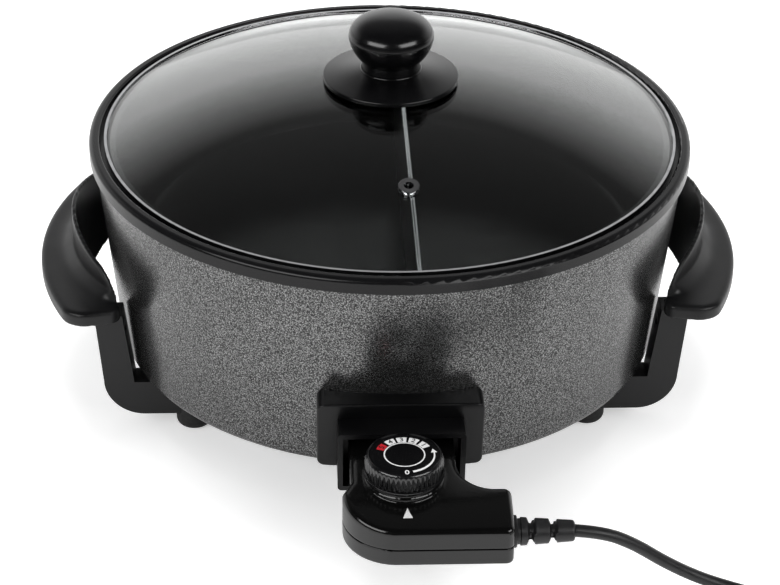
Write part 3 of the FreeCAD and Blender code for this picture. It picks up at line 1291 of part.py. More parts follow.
def body_outline(gap="0", root="neckRoot"):
    """The controller's outline from above as far as root, drawn inside by a gap."""
    left = f"{gap} - bodyLeft"
    neck = f"neckHalf - {gap}"
    front = f"{gap} - bodyFront"
    right = f"bodyRight - {gap}"
    back = f"-(wingBack + {gap})"
    turn = f"bodyRound - {gap}"
    corner = f"wingRound - {gap}"
    hollow = f"wingFillet + {gap}"
    flare = "neckRoot + flareStart"
    return [
        (f"-({neck})", f"-({root})"),
        (f"-({neck})", f"-({flare})"),
        (left, "bodyRound - bodyFront", turn),
        ("bodyRound - bodyLeft", front),
        ("bodyRight - wingRound", front, corner),
        (right, "wingRound - bodyFront"),
        (right, "-wingBack - wingRound", corner),
        ("bodyRight - wingRound", back),
        ("neckHalf + wingFillet", back, f"-({hollow})"),
        (neck, "wingFillet - wingBack"),
        (neck, f"-({root})"),
    ]


def neck_block(label, low, high, gap="0"):
    """A box of the neck between two heights, drawn inside by a gap at its sides and tip."""
    return make_box(label, (f"{gap} - neckHalf", "-(neckRoot + 3)", low),
                    (f"2 * (neckHalf - {gap})", f"neckRoot + 3 - neckTip - {gap}", f"{high} - ({low})"))


def boss_places():
    return [
        ("bossLeft", "-bossBack"),
        ("bossLeft", "-bossFront"),
        ("bossRight", "-bossWingBack"),
        ("bossRight", "-bossWingFront"),
    ]


def cylinders(label, places, radius, low, height):
    made = []
    for number, (across, along) in enumerate(places):
        made.append(make_cylinder(f"{label}_{number}", radius, height, (across, along, low)))
    return made


def cord_hole(label, radius, start, length):
    return make_cylinder(label, radius, length, (start, "-cordPlace", "bodySplit"), "x")


def cover_form(label, low, gap="0"):
    """The upper shell's form: level over the neck, then falling in an arc to the front."""
    body = make_body(label)
    top = f"neckTop - {gap}"
    over = "neckTop + 5"
    back = "5 - neckTip"
    past = "bodyFront + 5"
    end = f"neckTop - crownRadius + sqrt((crownRadius - {gap})^2 - ({past} - neckRoot)^2)"
    add_pad(body, "XY_Plane", low, f"{over} - 1 - ({low})", body_outline(gap, f"neckTip + {gap}"))
    above = [
        (back, top),
        ("-neckRoot", top, f"crownRadius - {gap}"),
        (f"-({past})", end),
        (f"-({past})", over),
        (back, over),
    ]
    add_pocket(body, "YZ_Plane", "-bodyLeft - 5", "bodyLeft + bodyRight + 10", above)
    return body


def is_cover_edge(edge):
    """Whether an edge bounds the upper shell's top, apart from its end inside the hood."""
    box = edge.BoundBox
    if box.ZMin < size("bodyTop") - 1:
        return False
    return not (runs_along(edge, "x") and box.YMin > -size("neckRoot") - 1)


def build_controller_shells():
    cover_body = cover_form("cover_body", "bodySplit")
    round_edges(cover_body, "coverRound", is_cover_edge)
    collar = make_cylinder("cover_collar", "collarRadius", "collarTop - shellRoof", ("0", "-dialPlace", "shellRoof"))
    ring = make_cylinder("cover_ring", "collarFlange", "collarTop - collarDrop - shellRoof",
                         ("0", "-dialPlace", "shellRoof"))
    room = cover_form("cover_room", "bodySplit - 1", "shellWall")
    solid = cut("cover_hollow", join("cover_solid", cover_body, collar, ring), room)
    posts = cylinders("cover_boss", boss_places(), "shellBoss", "bodySplit", "neckTop - bodySplit")
    doc.recompute()
    filled = join("cover_filled", solid, overlap("cover_bosses", cover_body, join("cover_posts", *posts)))
    holes = cylinders("cover_screw", boss_places(), "shellScrewRadius", "bodySplit - 1", "shellRoof - bodySplit")
    shaft = make_cylinder("cover_shaft", "shaftRadius + fitGap", "40", ("0", "-dialPlace", "bodySplit"))
    openings = neck_openings("cover")
    cord = cord_hole("cover_cord", "reliefNeck + fitGap", "bodyRight - shellWall - 1", "shellWall + 2")
    keep("controller_cover", cut("controller_cover", filled, shaft, cord, *holes, *openings))

    base_body = make_body("base_body")
    add_pad(base_body, "XY_Plane", "bodyLow", "bodySplit - bodyLow", body_outline())
    round_edges(base_body, "shellRound", lambda edge: lies_at(edge, "bodyLow"))
    base_neck = neck_block("base_neck", "neckLow", "bodySplit")
    base_room = make_body("base_room")
    add_pad(base_room, "XY_Plane", "shellFloor", "bodySplit - shellFloor + 1", body_outline("shellWall"))
    base_neck_room = neck_block("base_neck_room", "neckFloor", "bodySplit + 1", "shellWall")
    base_solid = cut("base_hollow", join("base_solid", base_body, base_neck), base_room, base_neck_room)
    base_bosses = cylinders("base_boss", boss_places(), "shellBoss", "shellFloor - 0.5", "bodySplit - shellFloor + 0.5")
    saddle = make_box("base_saddle",
                      ("clampPlace - clampPlateWidth / 2", "-(cordPlace + clampPlateHalf)", "shellFloor - 0.5"),
                      ("clampPlateWidth", "2 * clampPlateHalf", "bodySplit - shellFloor + 0.5"))
    doc.recompute()
    base_filled = join("base_filled", base_solid, saddle, *base_bosses)
    base_holes = cylinders("base_screw", boss_places(), "shellScrewRadius + fitGap", "bodyLow - 1", "bodySplit")
    heads = cylinders("base_head", boss_places(), "shellHead + 0.2", "bodyLow - 1", "shellHeadHeight + 1.2")
    cord_low = cord_hole("base_cord", "reliefNeck + fitGap", "bodyRight - shellWall - 1", "shellWall + 2")
    lane = cord_hole("base_lane", "cordRadius", "clampPlace - clampPlateWidth", "2 * clampPlateWidth")
    threads = cylinders("base_thread", clamp_screw_places(), "shellScrewRadius", "shellFloor + 2", "20")
    keep("controller_base", cut("controller_base", base_filled, cord_low, lane, *base_holes, *heads, *threads))

    screws = stacked_body("controller_screws", "XY_Plane", boss_places(), [
        ("shellHead", None, "bodyLow + 0.2", "shellHeadHeight"),
        ("shellScrewRadius", None, "bodyLow + 0.2 + shellHeadHeight", "bodySplit + 5 - bodyLow - shellHeadHeight"),
    ])
    keep("controller_screws", screws)


def neck_openings(label):
    """Openings for the pins and the probe in the neck's end wall."""
    radius = "pinRadius + contactOpen"
    holes = []
    for side in ("-", ""):
        base = (side + "pinSpread", "2 - neckTip", "pinHeight")
        holes.append(make_cylinder(label + "_pin_opening", radius, "shellWall + 4", base, "-y"))
    base = ("0", "2 - neckTip", "pinHeight")
    holes.append(make_cylinder(label + "_probe_opening", "probeRadius + fitGap", "shellWall + 4", base, "-y"))
    return holes


def lies_at(edge, height):
    box = edge.BoundBox
    return abs(box.ZMin - size(height)) < 0.01 and abs(box.ZMax - size(height)) < 0.01


def clamp_screw_places():
    return [("clampPlace", f"{side}clampScrewSpread - cordPlace") for side in ("-", "")]


def build_controller_inside():
    keep("sensor_probe", stacked_body("sensor_probe", "XZ_Plane", [("0", "pinHeight")], [
        ("probeRadius", None, "probeTip", "carrierBack - probeTip"),
        ("probeRadius + 1", None, "carrierBack", "2"),
    ]))
    block = make_box("carrier_block", ("-carrierHalf", "-carrierBack", "neckFloor"),
                     ("2 * carrierHalf", "carrierBack - carrierFront", "pinHeight + 8 - neckFloor"))
    outer = "pinRadius + contactFit + contactWall"
    holes = [make_cylinder("carrier_hole", outer, "40", (side + "pinSpread", "10 - carrierFront", "pinHeight"), "-y")
             for side in ("-", "")]
    probe = make_cylinder("carrier_probe", "probeRadius", "40", ("0", "10 - carrierFront", "pinHeight"), "-y")
    keep("contact_carrier", cut("contact_carrier", block, probe, *holes))
    for name, sign in (("left", "-"), ("right", "")):
        keep(name + "_contact", stacked_body(name + "_contact", "XZ_Plane", [(sign + "pinSpread", "pinHeight")], [
            (outer, "pinRadius + contactFit", "neckTip + shellWall + 1", "pinTip + 1 - neckTip - shellWall - 1"),
            (outer, None, "pinTip + 1", "contactBack - pinTip - 1"),
        ]))

    frame = make_body("thermostat_frame")
    high = "shellFloor + frameHeight"
    profile = [
        ("-frameHalf", "shellFloor"),
        ("frameHalf", "shellFloor"),
        ("frameHalf", "shellFloor + frameSheet"),
        ("frameSheet - frameHalf", "shellFloor + frameSheet"),
        ("frameSheet - frameHalf", f"{high} - frameSheet"),
        ("frameHalf", f"{high} - frameSheet"),
        ("frameHalf", high),
        ("-frameHalf", high),
    ]
    add_pad(frame, "XZ_Plane", "frameFront", "frameBack - frameFront", profile)
    add_pocket(frame, "XY_Plane", "shellFloor + frameSheet + 1", "frameHeight",
               circles=[("0", "-dialPlace", "shaftRadius + fitGap")])
    keep("thermostat_frame", frame)

    low_blade = "shaftLow - bladeSheet - bladeGap - bladeSheet"
    top_blade = "shaftLow - bladeSheet"
    blades = []
    for number, up in enumerate((low_blade, top_blade)):
        blades.append(make_box(f"blade_{number}", ("-bladeHalf", "-dialPlace - bladeWidth / 2", up),
                               ("2 * bladeHalf", "bladeWidth", "bladeSheet")))
    pillar = make_cylinder("blade_pillar", "pillarRadius", f"{top_blade} - shellFloor - frameSheet",
                           ("pillarRadius - bladeHalf", "-dialPlace", "shellFloor + frameSheet"))
    keep("switch_blades", join("switch_blades", pillar, *blades))

    plate = make_box("clamp_solid",
                     ("clampPlace - clampPlateWidth / 2", "-(cordPlace + clampPlateHalf)", "bodySplit + cordRadius"),
                     ("clampPlateWidth", "2 * clampPlateHalf", "clampPlateHeight"))
    holes = cylinders("clamp_hole", clamp_screw_places(), "shellScrewRadius + fitGap", "bodySplit", "20")
    keep("cord_clamp", cut("cord_clamp", plate, *holes))
    head = "bodySplit + cordRadius + clampPlateHeight"
    keep("clamp_screws", stacked_body("clamp_screws", "XY_Plane", clamp_screw_places(), [
        ("shellScrewRadius", None, "shellFloor + 2.5", f"{head} - shellFloor - 2.5"),
        ("shellHead", None, head, "shellHeadHeight - 0.4"),
    ]))
    build_leads()


def build_leads():
    """Three leads from the cord's end to the contacts and the frame, inside the shells."""
    split = size("bodySplit")
    pins = size("pinHeight")
    start = size("stubEnd")
    exit_place = -size("cordPlace")
    contact_end = -size("contactBack")
    spread = size("pinSpread")
    offset = size("cordRadius") - size("leadRadius")
    frame_far = -size("frameBack")
    side = size("frameHalf") + 2.5
    right = [
        FreeCAD.Vector(start, exit_place + offset, split),
        FreeCAD.Vector(side + 3, exit_place + offset, split),
        FreeCAD.Vector(side, frame_far + 6, split + 2),
        FreeCAD.Vector(spread, contact_end - 10, pins),
        FreeCAD.Vector(spread, contact_end, pins),
    ]
    left = [
        FreeCAD.Vector(start, exit_place, split),
        FreeCAD.Vector(0, exit_place, split),
        FreeCAD.Vector(-side, exit_place + 10, split + 1),
        FreeCAD.Vector(-spread, contact_end - 10, pins),
        FreeCAD.Vector(-spread, contact_end, pins),
    ]
    low = size("shellFloor + frameSheet / 2") + 0.6
    middle = [
        FreeCAD.Vector(start, exit_place - offset, split),
        FreeCAD.Vector(start - 20, exit_place - offset, split),
        FreeCAD.Vector(4, exit_place, low),
        FreeCAD.Vector(4, frame_far, low),
    ]
    tubes = []
    for points in (right, left, middle):
        radii = lead_radii(points)
        wire = path_with_arcs(points, radii)
        tubes.append(tube_along(wire, size("leadRadius"), points[0], points[1] - points[0]))
    keep("internal_leads", own_shape("internal_leads", Part.makeCompound(tubes)))


def lead_radii(points, share=0.45):
    """The largest arc at each inner point that its two runs allow."""
    radii = []
    for number in range(1, len(points) - 1):
        inward = points[number] - points[number - 1]
        outward = points[number + 1] - points[number]
        turn = inward.getAngle(outward)
        radii.append(share * min(inward.Length, outward.Length) / math.tan(turn / 2))
    return radii


def build_dial():
    knurled = "dialRadius - dialStep"
    band_low = "dialTop - dialBand"
    seat = "dialTop - faceSink - faceSheet"
    roof = f"{seat} - dialWall"
    lip_top = "dialLow + dialLip"
    dial = turned_body("dial_form", [
        ("0", seat),
        ("0", roof),
        (f"{knurled} - dialWall", roof),
        (f"{knurled} - dialWall", "dialLow"),
        ("dialLipRadius", "dialLow"),
        ("dialLipRadius", f"{lip_top} - dialLip / 2"),
        (knurled, lip_top),
        (knurled, band_low),
        ("dialRadius", f"{band_low} + dialStep"),
        ("dialRadius", "dialTop - dialStep"),
        ("dialRadius - dialStep", "dialTop"),
        ("faceRadius + fitGap", "dialTop"),
        ("faceRadius + fitGap", seat),
    ])
    groove = add_pocket(dial, "XY_Plane", f"{lip_top} + knurlInset", f"{band_low} - knurlInset - ({lip_top} + knurlInset)",
                        circles=[(knurled, "0", "knurlRadius")])
    add_polar_pattern(dial, groove, "knurlCount")
    core = add_pad(dial, "XY_Plane", f"{roof} - shaftDeep", "shaftDeep + dialWall / 2", circles=[("0", "0", "dialCore")])
    dial.Tip = core
    add_pocket(dial, "XY_Plane", "dialLow - 1", f"{roof} - dialLow + 1", circles=[("0", "0", "shaftRadius + fitGap")])
    keep("dial_knob", set_place(dial, "0", "-dialPlace"))
    face = make_cylinder("dial_face", "faceRadius", "faceSheet", ("0", "-dialPlace", seat))
    keep("dial_face", face)
    top = roof
    shaft = make_cylinder("shaft_rod", "shaftRadius", f"{top} - shaftLow", ("0", "-dialPlace", "shaftLow"))
    keep("dial_shaft", shaft)


def build_cord_end():
    """Strain relief with its ribs, moulded round the cord's inner end."""
    body = make_body("relief_form")
    sketch = make_sketch(body, "XZ_Plane")
    wall = "bodyRight - shellWall"
    last = "bodyRight + reliefLength"
    taper = "(reliefRoot - reliefTip) / reliefLength"
    corners = [
        ("0", "stubEnd"),
        ("cordRadius", "stubEnd"),
        ("cordRadius", f"{wall} - 3"),
        ("reliefFlange", f"{wall} - 3"),
        ("reliefFlange", wall),
        ("reliefNeck", wall),
        ("reliefNeck", "bodyRight"),
        ("reliefRing", "bodyRight"),
        ("reliefRing", "bodyRight + reliefRingWidth"),
        (f"reliefRoot - {taper} * reliefRingWidth", "bodyRight + reliefRingWidth"),
        ("reliefTip", last),
        ("0", last),
    ]
    draw_outline(sketch, corners)
    add_feature(body, "Revolution", sketch)
    round_edges(body, "reliefRound", lambda edge: is_circle(edge, size("reliefTip"), size(last)))
    for number in range(int(size("reliefNotches"))):
        middle = f"bodyRight + notchStart + {number} * reliefPitch"
        floor = f"reliefRoot - {taper} * ({middle} - bodyRight) - reliefDeep"
        for side in ("", "-"):
            notch = [
                (f"{side}({floor})", f"{middle} - reliefNotch / 4"),
                (f"{side}(reliefRoot + 1)", f"{middle} - reliefNotch / 2"),
                (f"{side}(reliefRoot + 1)", f"{middle} + reliefNotch / 2"),
                (f"{side}({floor})", f"{middle} + reliefNotch / 4"),
            ]
            add_pocket(body, "XZ_Plane", "-reliefRoot - 1", "2 * reliefRoot + 2", notch)
    for number in range(int(size("reliefNotches")) + 1):
        middle = f"bodyRight + slotStart + {number} * reliefPitch"
        radius = f"reliefRoot - {taper} * ({middle} - bodyRight)"
        half = f"({radius}) * 0.7"
        for side in ("", "-"):
            slot = rectangle(f"{side}({radius} - reliefDeep)", f"{middle} - reliefSlot / 2",
                             f"{side}(reliefRoot + 1)", f"{middle} + reliefSlot / 2")
            add_pocket(body, "YZ_Plane", f"-({half})", f"2 * {half}", slot)
    body.Placement = FreeCAD.Placement(FreeCAD.Vector(), FreeCAD.Rotation(FreeCAD.Vector(0, 1, 0), 90))
    keep("strain_relief", set_place(body, "0", "-cordPlace", "bodySplit"))


# Cord route from the strain relief to the coil, in millimetres.
CORD_ROUTE = [
    (91, -247.3, 50),
    (107, -247, 48.2),
    (124.5, -245, 38.5),
    (142.5, -242, 23.5),
    (162, -240, 11),
    (181, -242, 4.8),
    (200, -249, 3.5),
    (218, -256.5, 3.5),
    (234, -261, 4),
    (246, -261.5, 4.3),
]

# Route from the coil to the plug, in millimetres.
PLUG_ROUTE = [
    (246, -348.5, 11.3),
    (233, -348.6, 12.6),
    (219, -349.4, 16.4),
    (205.5, -350, 19),
    (192, -350, 19),
]


def build_cord():
    for label, route in (("power_cord", CORD_ROUTE), ("plug_lead", PLUG_ROUTE)):
        points = [FreeCAD.Vector(*point) for point in route]
        radii = lead_radii(points)
        print(label, "radii", [round(radius, 1) for radius in radii])
        wire = path_with_arcs(points, radii)
        print(label, "length", round(wire.Length, 1))
        keep(label, own_shape(label, tube_along(wire, size("cordRadius"), points[0], points[1] - points[0])))
    low = "coilLift"
    high = "coilLift + 4 * cordRadius"
    inner = "coilRadius - 2 * cordRadius"
    outer = "coilRadius + 2 * cordRadius"
    coil = turned_body("cord_coil", [
        (f"{inner} + cordRadius", low),
        (f"{outer} - cordRadius", low, "cordRadius + fitGap"),
        (outer, f"{low} + cordRadius"),
        (outer, f"{high} - cordRadius", "cordRadius + fitGap"),
        (f"{outer} - cordRadius", high),
        (f"{inner} + cordRadius", high, "cordRadius + fitGap"),
        (inner, f"{high} - cordRadius"),
        (inner, f"{low} + cordRadius", "cordRadius + fitGap"),
    ])
    keep("cord_coil", set_place(coil, "coilSide", "-coilBack"))
    room = "2 * cordRadius"
    width = f"{room} + tieGap"
    half = f"{room} + coilLift"
    middle = f"coilLift + {room}"
    left = "coilSide + coilRadius"
    band = make_box("tie_band", (f"{left} - ({width} + coilLift)", "-coilBack - tieWidth / 2", f"{middle} - ({half})"),
                    (f"2 * ({width} + coilLift)", "tieWidth", f"2 * ({half})"))
    gap = make_box("tie_gap", (f"{left} - ({width})", "-coilBack - tieWidth", f"{middle} - {room}"),
                   (f"2 * ({width})", "2 * tieWidth", f"2 * {room}"))
    keep("cord_tie", cut("cord_tie", band, gap))


def build_plug():
    """Earthed plug, turned round its own axis and laid beside the coil, pins pointing to -X."""
    body = make_body("plug_form")
    sketch = make_sketch(body, "XZ_Plane")
    draw_outline(sketch, [
        ("0", "0"),
        ("plugTail", "0"),
        ("plugTail + 2", "plugLength * 0.28", "-plugLength"),
        ("plugGrip", "plugLength * 0.6"),
        ("plugFace - 2.5", "plugLength - plugRim"),
        ("plugFace", "plugLength - plugRim + 2.5"),
        ("plugFace", "plugLength"),
        ("0", "plugLength"),
    ])
    add_feature(body, "Revolution", sketch)
    for side in (1, -1):
        near = "plugFace - plugGrooveDeep"
        far = "plugFace + 2"
        lane = rectangle("-plugGroove / 2", near if side > 0 else f"-({far})", "plugGroove / 2", far if side > 0 else f"-({near})")
        add_pocket(body, "XY_Plane", "plugLength - plugGrooveLength", "plugGrooveLength + 1", lane)
    sockets = [("plugPinSpread", "0", "plugPinStem"), ("-plugPinSpread", "0", "plugPinStem")]
    add_pocket(body, "XY_Plane", "plugLength - plugPinRoot", "plugPinRoot + 1", circles=sockets)
    lay_plug(body)
    keep("mains_plug", body)
    pins = stacked_body("plug_pins", "XY_Plane", [("plugPinSpread", "0"), ("-plugPinSpread", "0")], [
        ("plugPinStem", None, "plugLength - plugPinRoot", "plugPinRoot"),
        ("plugPinRadius", None, "plugLength", "plugPinLength"),
    ])
    round_edges(pins, "plugPinRadius * 0.6", lambda edge: lies_at(edge, "plugLength + plugPinLength"))
    lay_plug(pins)
    keep("plug_pins", pins)
    clips = make_body("earth_clips")
    floor = "plugFace - plugGrooveDeep"
    for side in ("", "-"):
        strip = rectangle("1 - plugGroove / 2", f"{side}({floor})", "plugGroove / 2 - 1", f"{side}({floor} + earthClip)")
        add_pad(clips, "XY_Plane", "plugLength - plugGrooveLength", "plugGrooveLength", strip)
    lay_plug(clips)
    keep("earth_clips", clips)


def lay_plug(body):
    body.Placement = FreeCAD.Placement(FreeCAD.Vector(), FreeCAD.Rotation(FreeCAD.Vector(0, 1, 0), -90))
    set_place(body, "plugRear", "-plugBack", "plugHeight")


def check_and_export():
    doc.recompute()
    for item in doc.Objects:
        if "Invalid" in item.State or "Error" in item.State:
            print("bad state:", item.Name, item.State)
    os.makedirs("parts", exist_ok=True)
    for label, item in NODES.items():
        shape = item.Shape
        if shape.isNull() or not shape.isValid():
            print("bad shape:", label)
            continue
        shape.exportStep(f"parts/{label}.step")
        box = shape.BoundBox
        print(f"{label}: {len(shape.Solids)} solids, {shape.Volume:.0f} mm3, "
              f"x {box.XMin:.1f} {box.XMax:.1f}, y {box.YMin:.1f} {box.YMax:.1f}, z {box.ZMin:.1f} {box.ZMax:.1f}")


build_pan()
build_casing()
build_fasteners()
build_heating()
build_inlet()
build_stand()
build_lid()
build_divider()
build_controller_shells()
build_controller_inside()
build_dial()
build_cord_end()
build_cord()
build_plug()
check_and_export()
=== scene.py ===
import bpy
import bmesh
import math
from mathutils import Matrix, Vector


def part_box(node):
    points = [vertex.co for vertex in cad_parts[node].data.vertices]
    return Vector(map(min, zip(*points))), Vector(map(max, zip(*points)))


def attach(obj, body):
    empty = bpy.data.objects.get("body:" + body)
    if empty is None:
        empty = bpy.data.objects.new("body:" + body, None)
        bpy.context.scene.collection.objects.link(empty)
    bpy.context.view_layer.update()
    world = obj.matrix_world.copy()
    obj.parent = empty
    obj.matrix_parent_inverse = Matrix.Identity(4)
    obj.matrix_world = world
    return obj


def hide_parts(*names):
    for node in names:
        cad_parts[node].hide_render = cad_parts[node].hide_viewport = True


# Electric skillet with a divided pan, a glass lid and a plug-in controller.
# Everything is built in metres, in the frame of the imported parts: +Z up, the controller towards -Y.
# The pieces' settings are in millimetres, those of camera and stage in metres.

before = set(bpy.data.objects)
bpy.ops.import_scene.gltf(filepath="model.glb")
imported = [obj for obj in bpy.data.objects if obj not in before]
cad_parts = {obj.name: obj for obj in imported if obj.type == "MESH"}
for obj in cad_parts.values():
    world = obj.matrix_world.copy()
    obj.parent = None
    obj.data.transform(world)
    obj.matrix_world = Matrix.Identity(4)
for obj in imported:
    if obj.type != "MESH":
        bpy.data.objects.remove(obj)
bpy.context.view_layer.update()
mm = 0.001


# Camera

cameraSettings = {
    "place": (-0.0577, -1.2321, 0.8009),
    "forward": (0.0410, 0.8533, -0.5198),
    "roll": 0.0150,  # radians, the horizon tips up to the right
    "lens": 106.15,
    "sensor": 36.0,
    "nearest": 0.05,
}


def addCamera():
    forward = Vector(cameraSettings["forward"]).normalized()
    level = forward.cross(Vector((0, 0, 1))).normalized()
    upright = level.cross(forward)
    roll = cameraSettings["roll"]
    right = level * math.cos(roll) + upright * math.sin(roll)
    up = right.cross(forward)
    turn = Matrix((right, up, -forward)).transposed().to_4x4()
    lens = bpy.data.cameras.new("photoCamera")
    lens.lens = cameraSettings["lens"]
    lens.sensor_width = cameraSettings["sensor"]
    lens.sensor_fit = "HORIZONTAL"
    lens.clip_start = cameraSettings["nearest"]
    camera = bpy.data.objects.new("photoCamera", lens)
    camera.matrix_world = Matrix.Translation(Vector(cameraSettings["place"])) @ turn
    bpy.context.scene.collection.objects.link(camera)
    bpy.context.scene.camera = camera


# Cord

cordSettings = {
    "radius": 3.5 * mm,
    "sideSteps": 6,
    "alongSteps": 6,
    "toCoil": [  # from the strain relief to the coil
        (91, -247.3, 50),
        (107, -247, 48.2),
        (124.5, -245, 38.5),
        (142.5, -242, 23.5),
        (162, -240, 11),
        (181, -242, 4.8),
        (200, -249, 3.5),
        (218, -256.5, 3.5),
        (234, -261, 4),
    ],
    "toPlug": [  # from the coil to the plug
        (233, -348.6, 12.6),
        (219, -349.4, 16.4),
        (205.5, -350, 19),
        (192, -350, 19),
    ],
    "coilCentre": (246, -305),
    "innerTurn": 36.5,
    "outerTurn": 43.5,
    "lowTurn": 4.3,
    "highTurn": 11.3,
    "turns": 3.5,
    "pointsPerTurn": 24,
}


def smoothStep(share):
    share = min(max(share, 0.0), 1.0)
    return share * share * (3 - 2 * share)


# the cord's place after so many turns: outer low, inner low, inner high, outer high
def coilPoint(turned):
    whole = int(turned)
    back = max(turned - whole - 0.5, 0) * 2  # share of the western half turn
    inner = cordSettings["innerTurn"]
    outer = cordSettings["outerTurn"]
    low = cordSettings["lowTurn"]
    high = cordSettings["highTurn"]
    stops = [(outer, low), (inner, low), (inner, high), (outer, high)]
    start = stops[whole]
    end = stops[min(whole + 1, 3)]
    firstShare = (2 - whole) / 3  # the upper turn shifts first, so that the turns never cross
    share = smoothStep((back - firstShare) * 3)
    radius = start[0] + (end[0] - start[0]) * share
    height = start[1] + (end[1] - start[1]) * share
    angle = math.radians(90 - 360 * turned)
    centre = cordSettings["coilCentre"]
    return (centre[0] + radius * math.cos(angle), centre[1] + radius * math.sin(angle), height)


def addCurve(name, points, radius):
    curve = bpy.data.curves.new(name, "CURVE")
    curve.dimensions = "3D"
    curve.bevel_depth = radius
    curve.bevel_resolution = cordSettings["sideSteps"]
    curve.resolution_u = cordSettings["alongSteps"]
    curve.use_fill_caps = True
    spline = curve.splines.new("NURBS")
    spline.points.add(len(points) - 1)
    for point, place in zip(spline.points, points):
        point.co = (place[0] * mm, place[1] * mm, place[2] * mm, 1)
    spline.order_u = 3
    spline.use_endpoint_u = True
    piece = bpy.data.objects.new(name, curve)
    bpy.context.scene.collection.objects.link(piece)
    return piece


def curveLength(piece):
    depth = piece.data.bevel_depth
    piece.data.bevel_depth = 0
    line = bpy.data.meshes.new_from_object(piece)
    piece.data.bevel_depth = depth
    places = [vertex.co.copy() for vertex in line.vertices]
    total = sum((places[edge.vertices[0]] - places[edge.vertices[1]]).length for edge in line.edges)
    bpy.data.meshes.remove(line)
    return total


def addCord(material):
    count = int(cordSettings["turns"] * cordSettings["pointsPerTurn"])
    coil = [coilPoint(number / cordSettings["pointsPerTurn"]) for number in range(count + 1)]
    points = cordSettings["toCoil"] + coil + cordSettings["toPlug"]
    cord = addCurve("powerCord", points, cordSettings["radius"])
    cord.data.materials.append(material)
    length = curveLength(cord)
    print("cord length", round(length, 3))
    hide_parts("power_cord", "cord_coil", "plug_lead")
    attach(cord, "controller")


# Materials

# linear colour from an sRGB hex value
def linear(hexText):
    values = [int(hexText[start:start + 2], 16) / 255 for start in (1, 3, 5)]
    turned = [value / 12.92 if value <= 0.04045 else ((value + 0.055) / 1.055) ** 2.4 for value in values]
    return (*turned, 1.0)


# texture scale for grains of a real size
def perGrain(millimetres):
    return 1000 / millimetres


# sets or links sockets; a node given as a value stands for its first output
def setSockets(tree, node, sockets):
    for name, value in sockets.items():
        if isinstance(value, bpy.types.Node):
            value = value.outputs[0]
        if isinstance(value, bpy.types.NodeSocket):
            tree.links.new(value, node.inputs[name])
        else:
            node.inputs[name].default_value = value


# adds a node, sets its properties, and sets or links its sockets
def addNode(tree, kind, sockets=(), **settings):
    added = tree.nodes.new(kind)
    for name, value in settings.items():
        setattr(added, name, value)
    setSockets(tree, added, dict(sockets))
    return added


def setStops(ramp, stops):
    elements = ramp.color_ramp.elements
    while len(elements) < len(stops):
        elements.new(0.5)
    for element, (position, colour) in zip(elements, stops):
        element.position = position
        element.color = linear(colour)


def startMaterial(name, sockets):
    material = bpy.data.materials.new(name)
    material.use_nodes = True
    tree = material.node_tree
    shader = tree.nodes["Principled BSDF"]
    setSockets(tree, shader, sockets)
    place = addNode(tree, "ShaderNodeTexCoord").outputs["Object"]
    return material, tree, shader, place


usualDetail = 3.0
usualSpan = (0.3, 0.7)  # a noise's values mostly lie between these
bareMetal = {"sockets": {"Metallic": 1.0}, "detail": 4.0, "depth": 0.01}
thinInk = {"sockets": {"Roughness": 0.4}, "detail": 2.0, "grain": 0.5}
silicone = {"sockets": {"IOR": 1.41, "Roughness": 0.5}, "detail": 2.0, "grain": 3, "depth": 0.02}

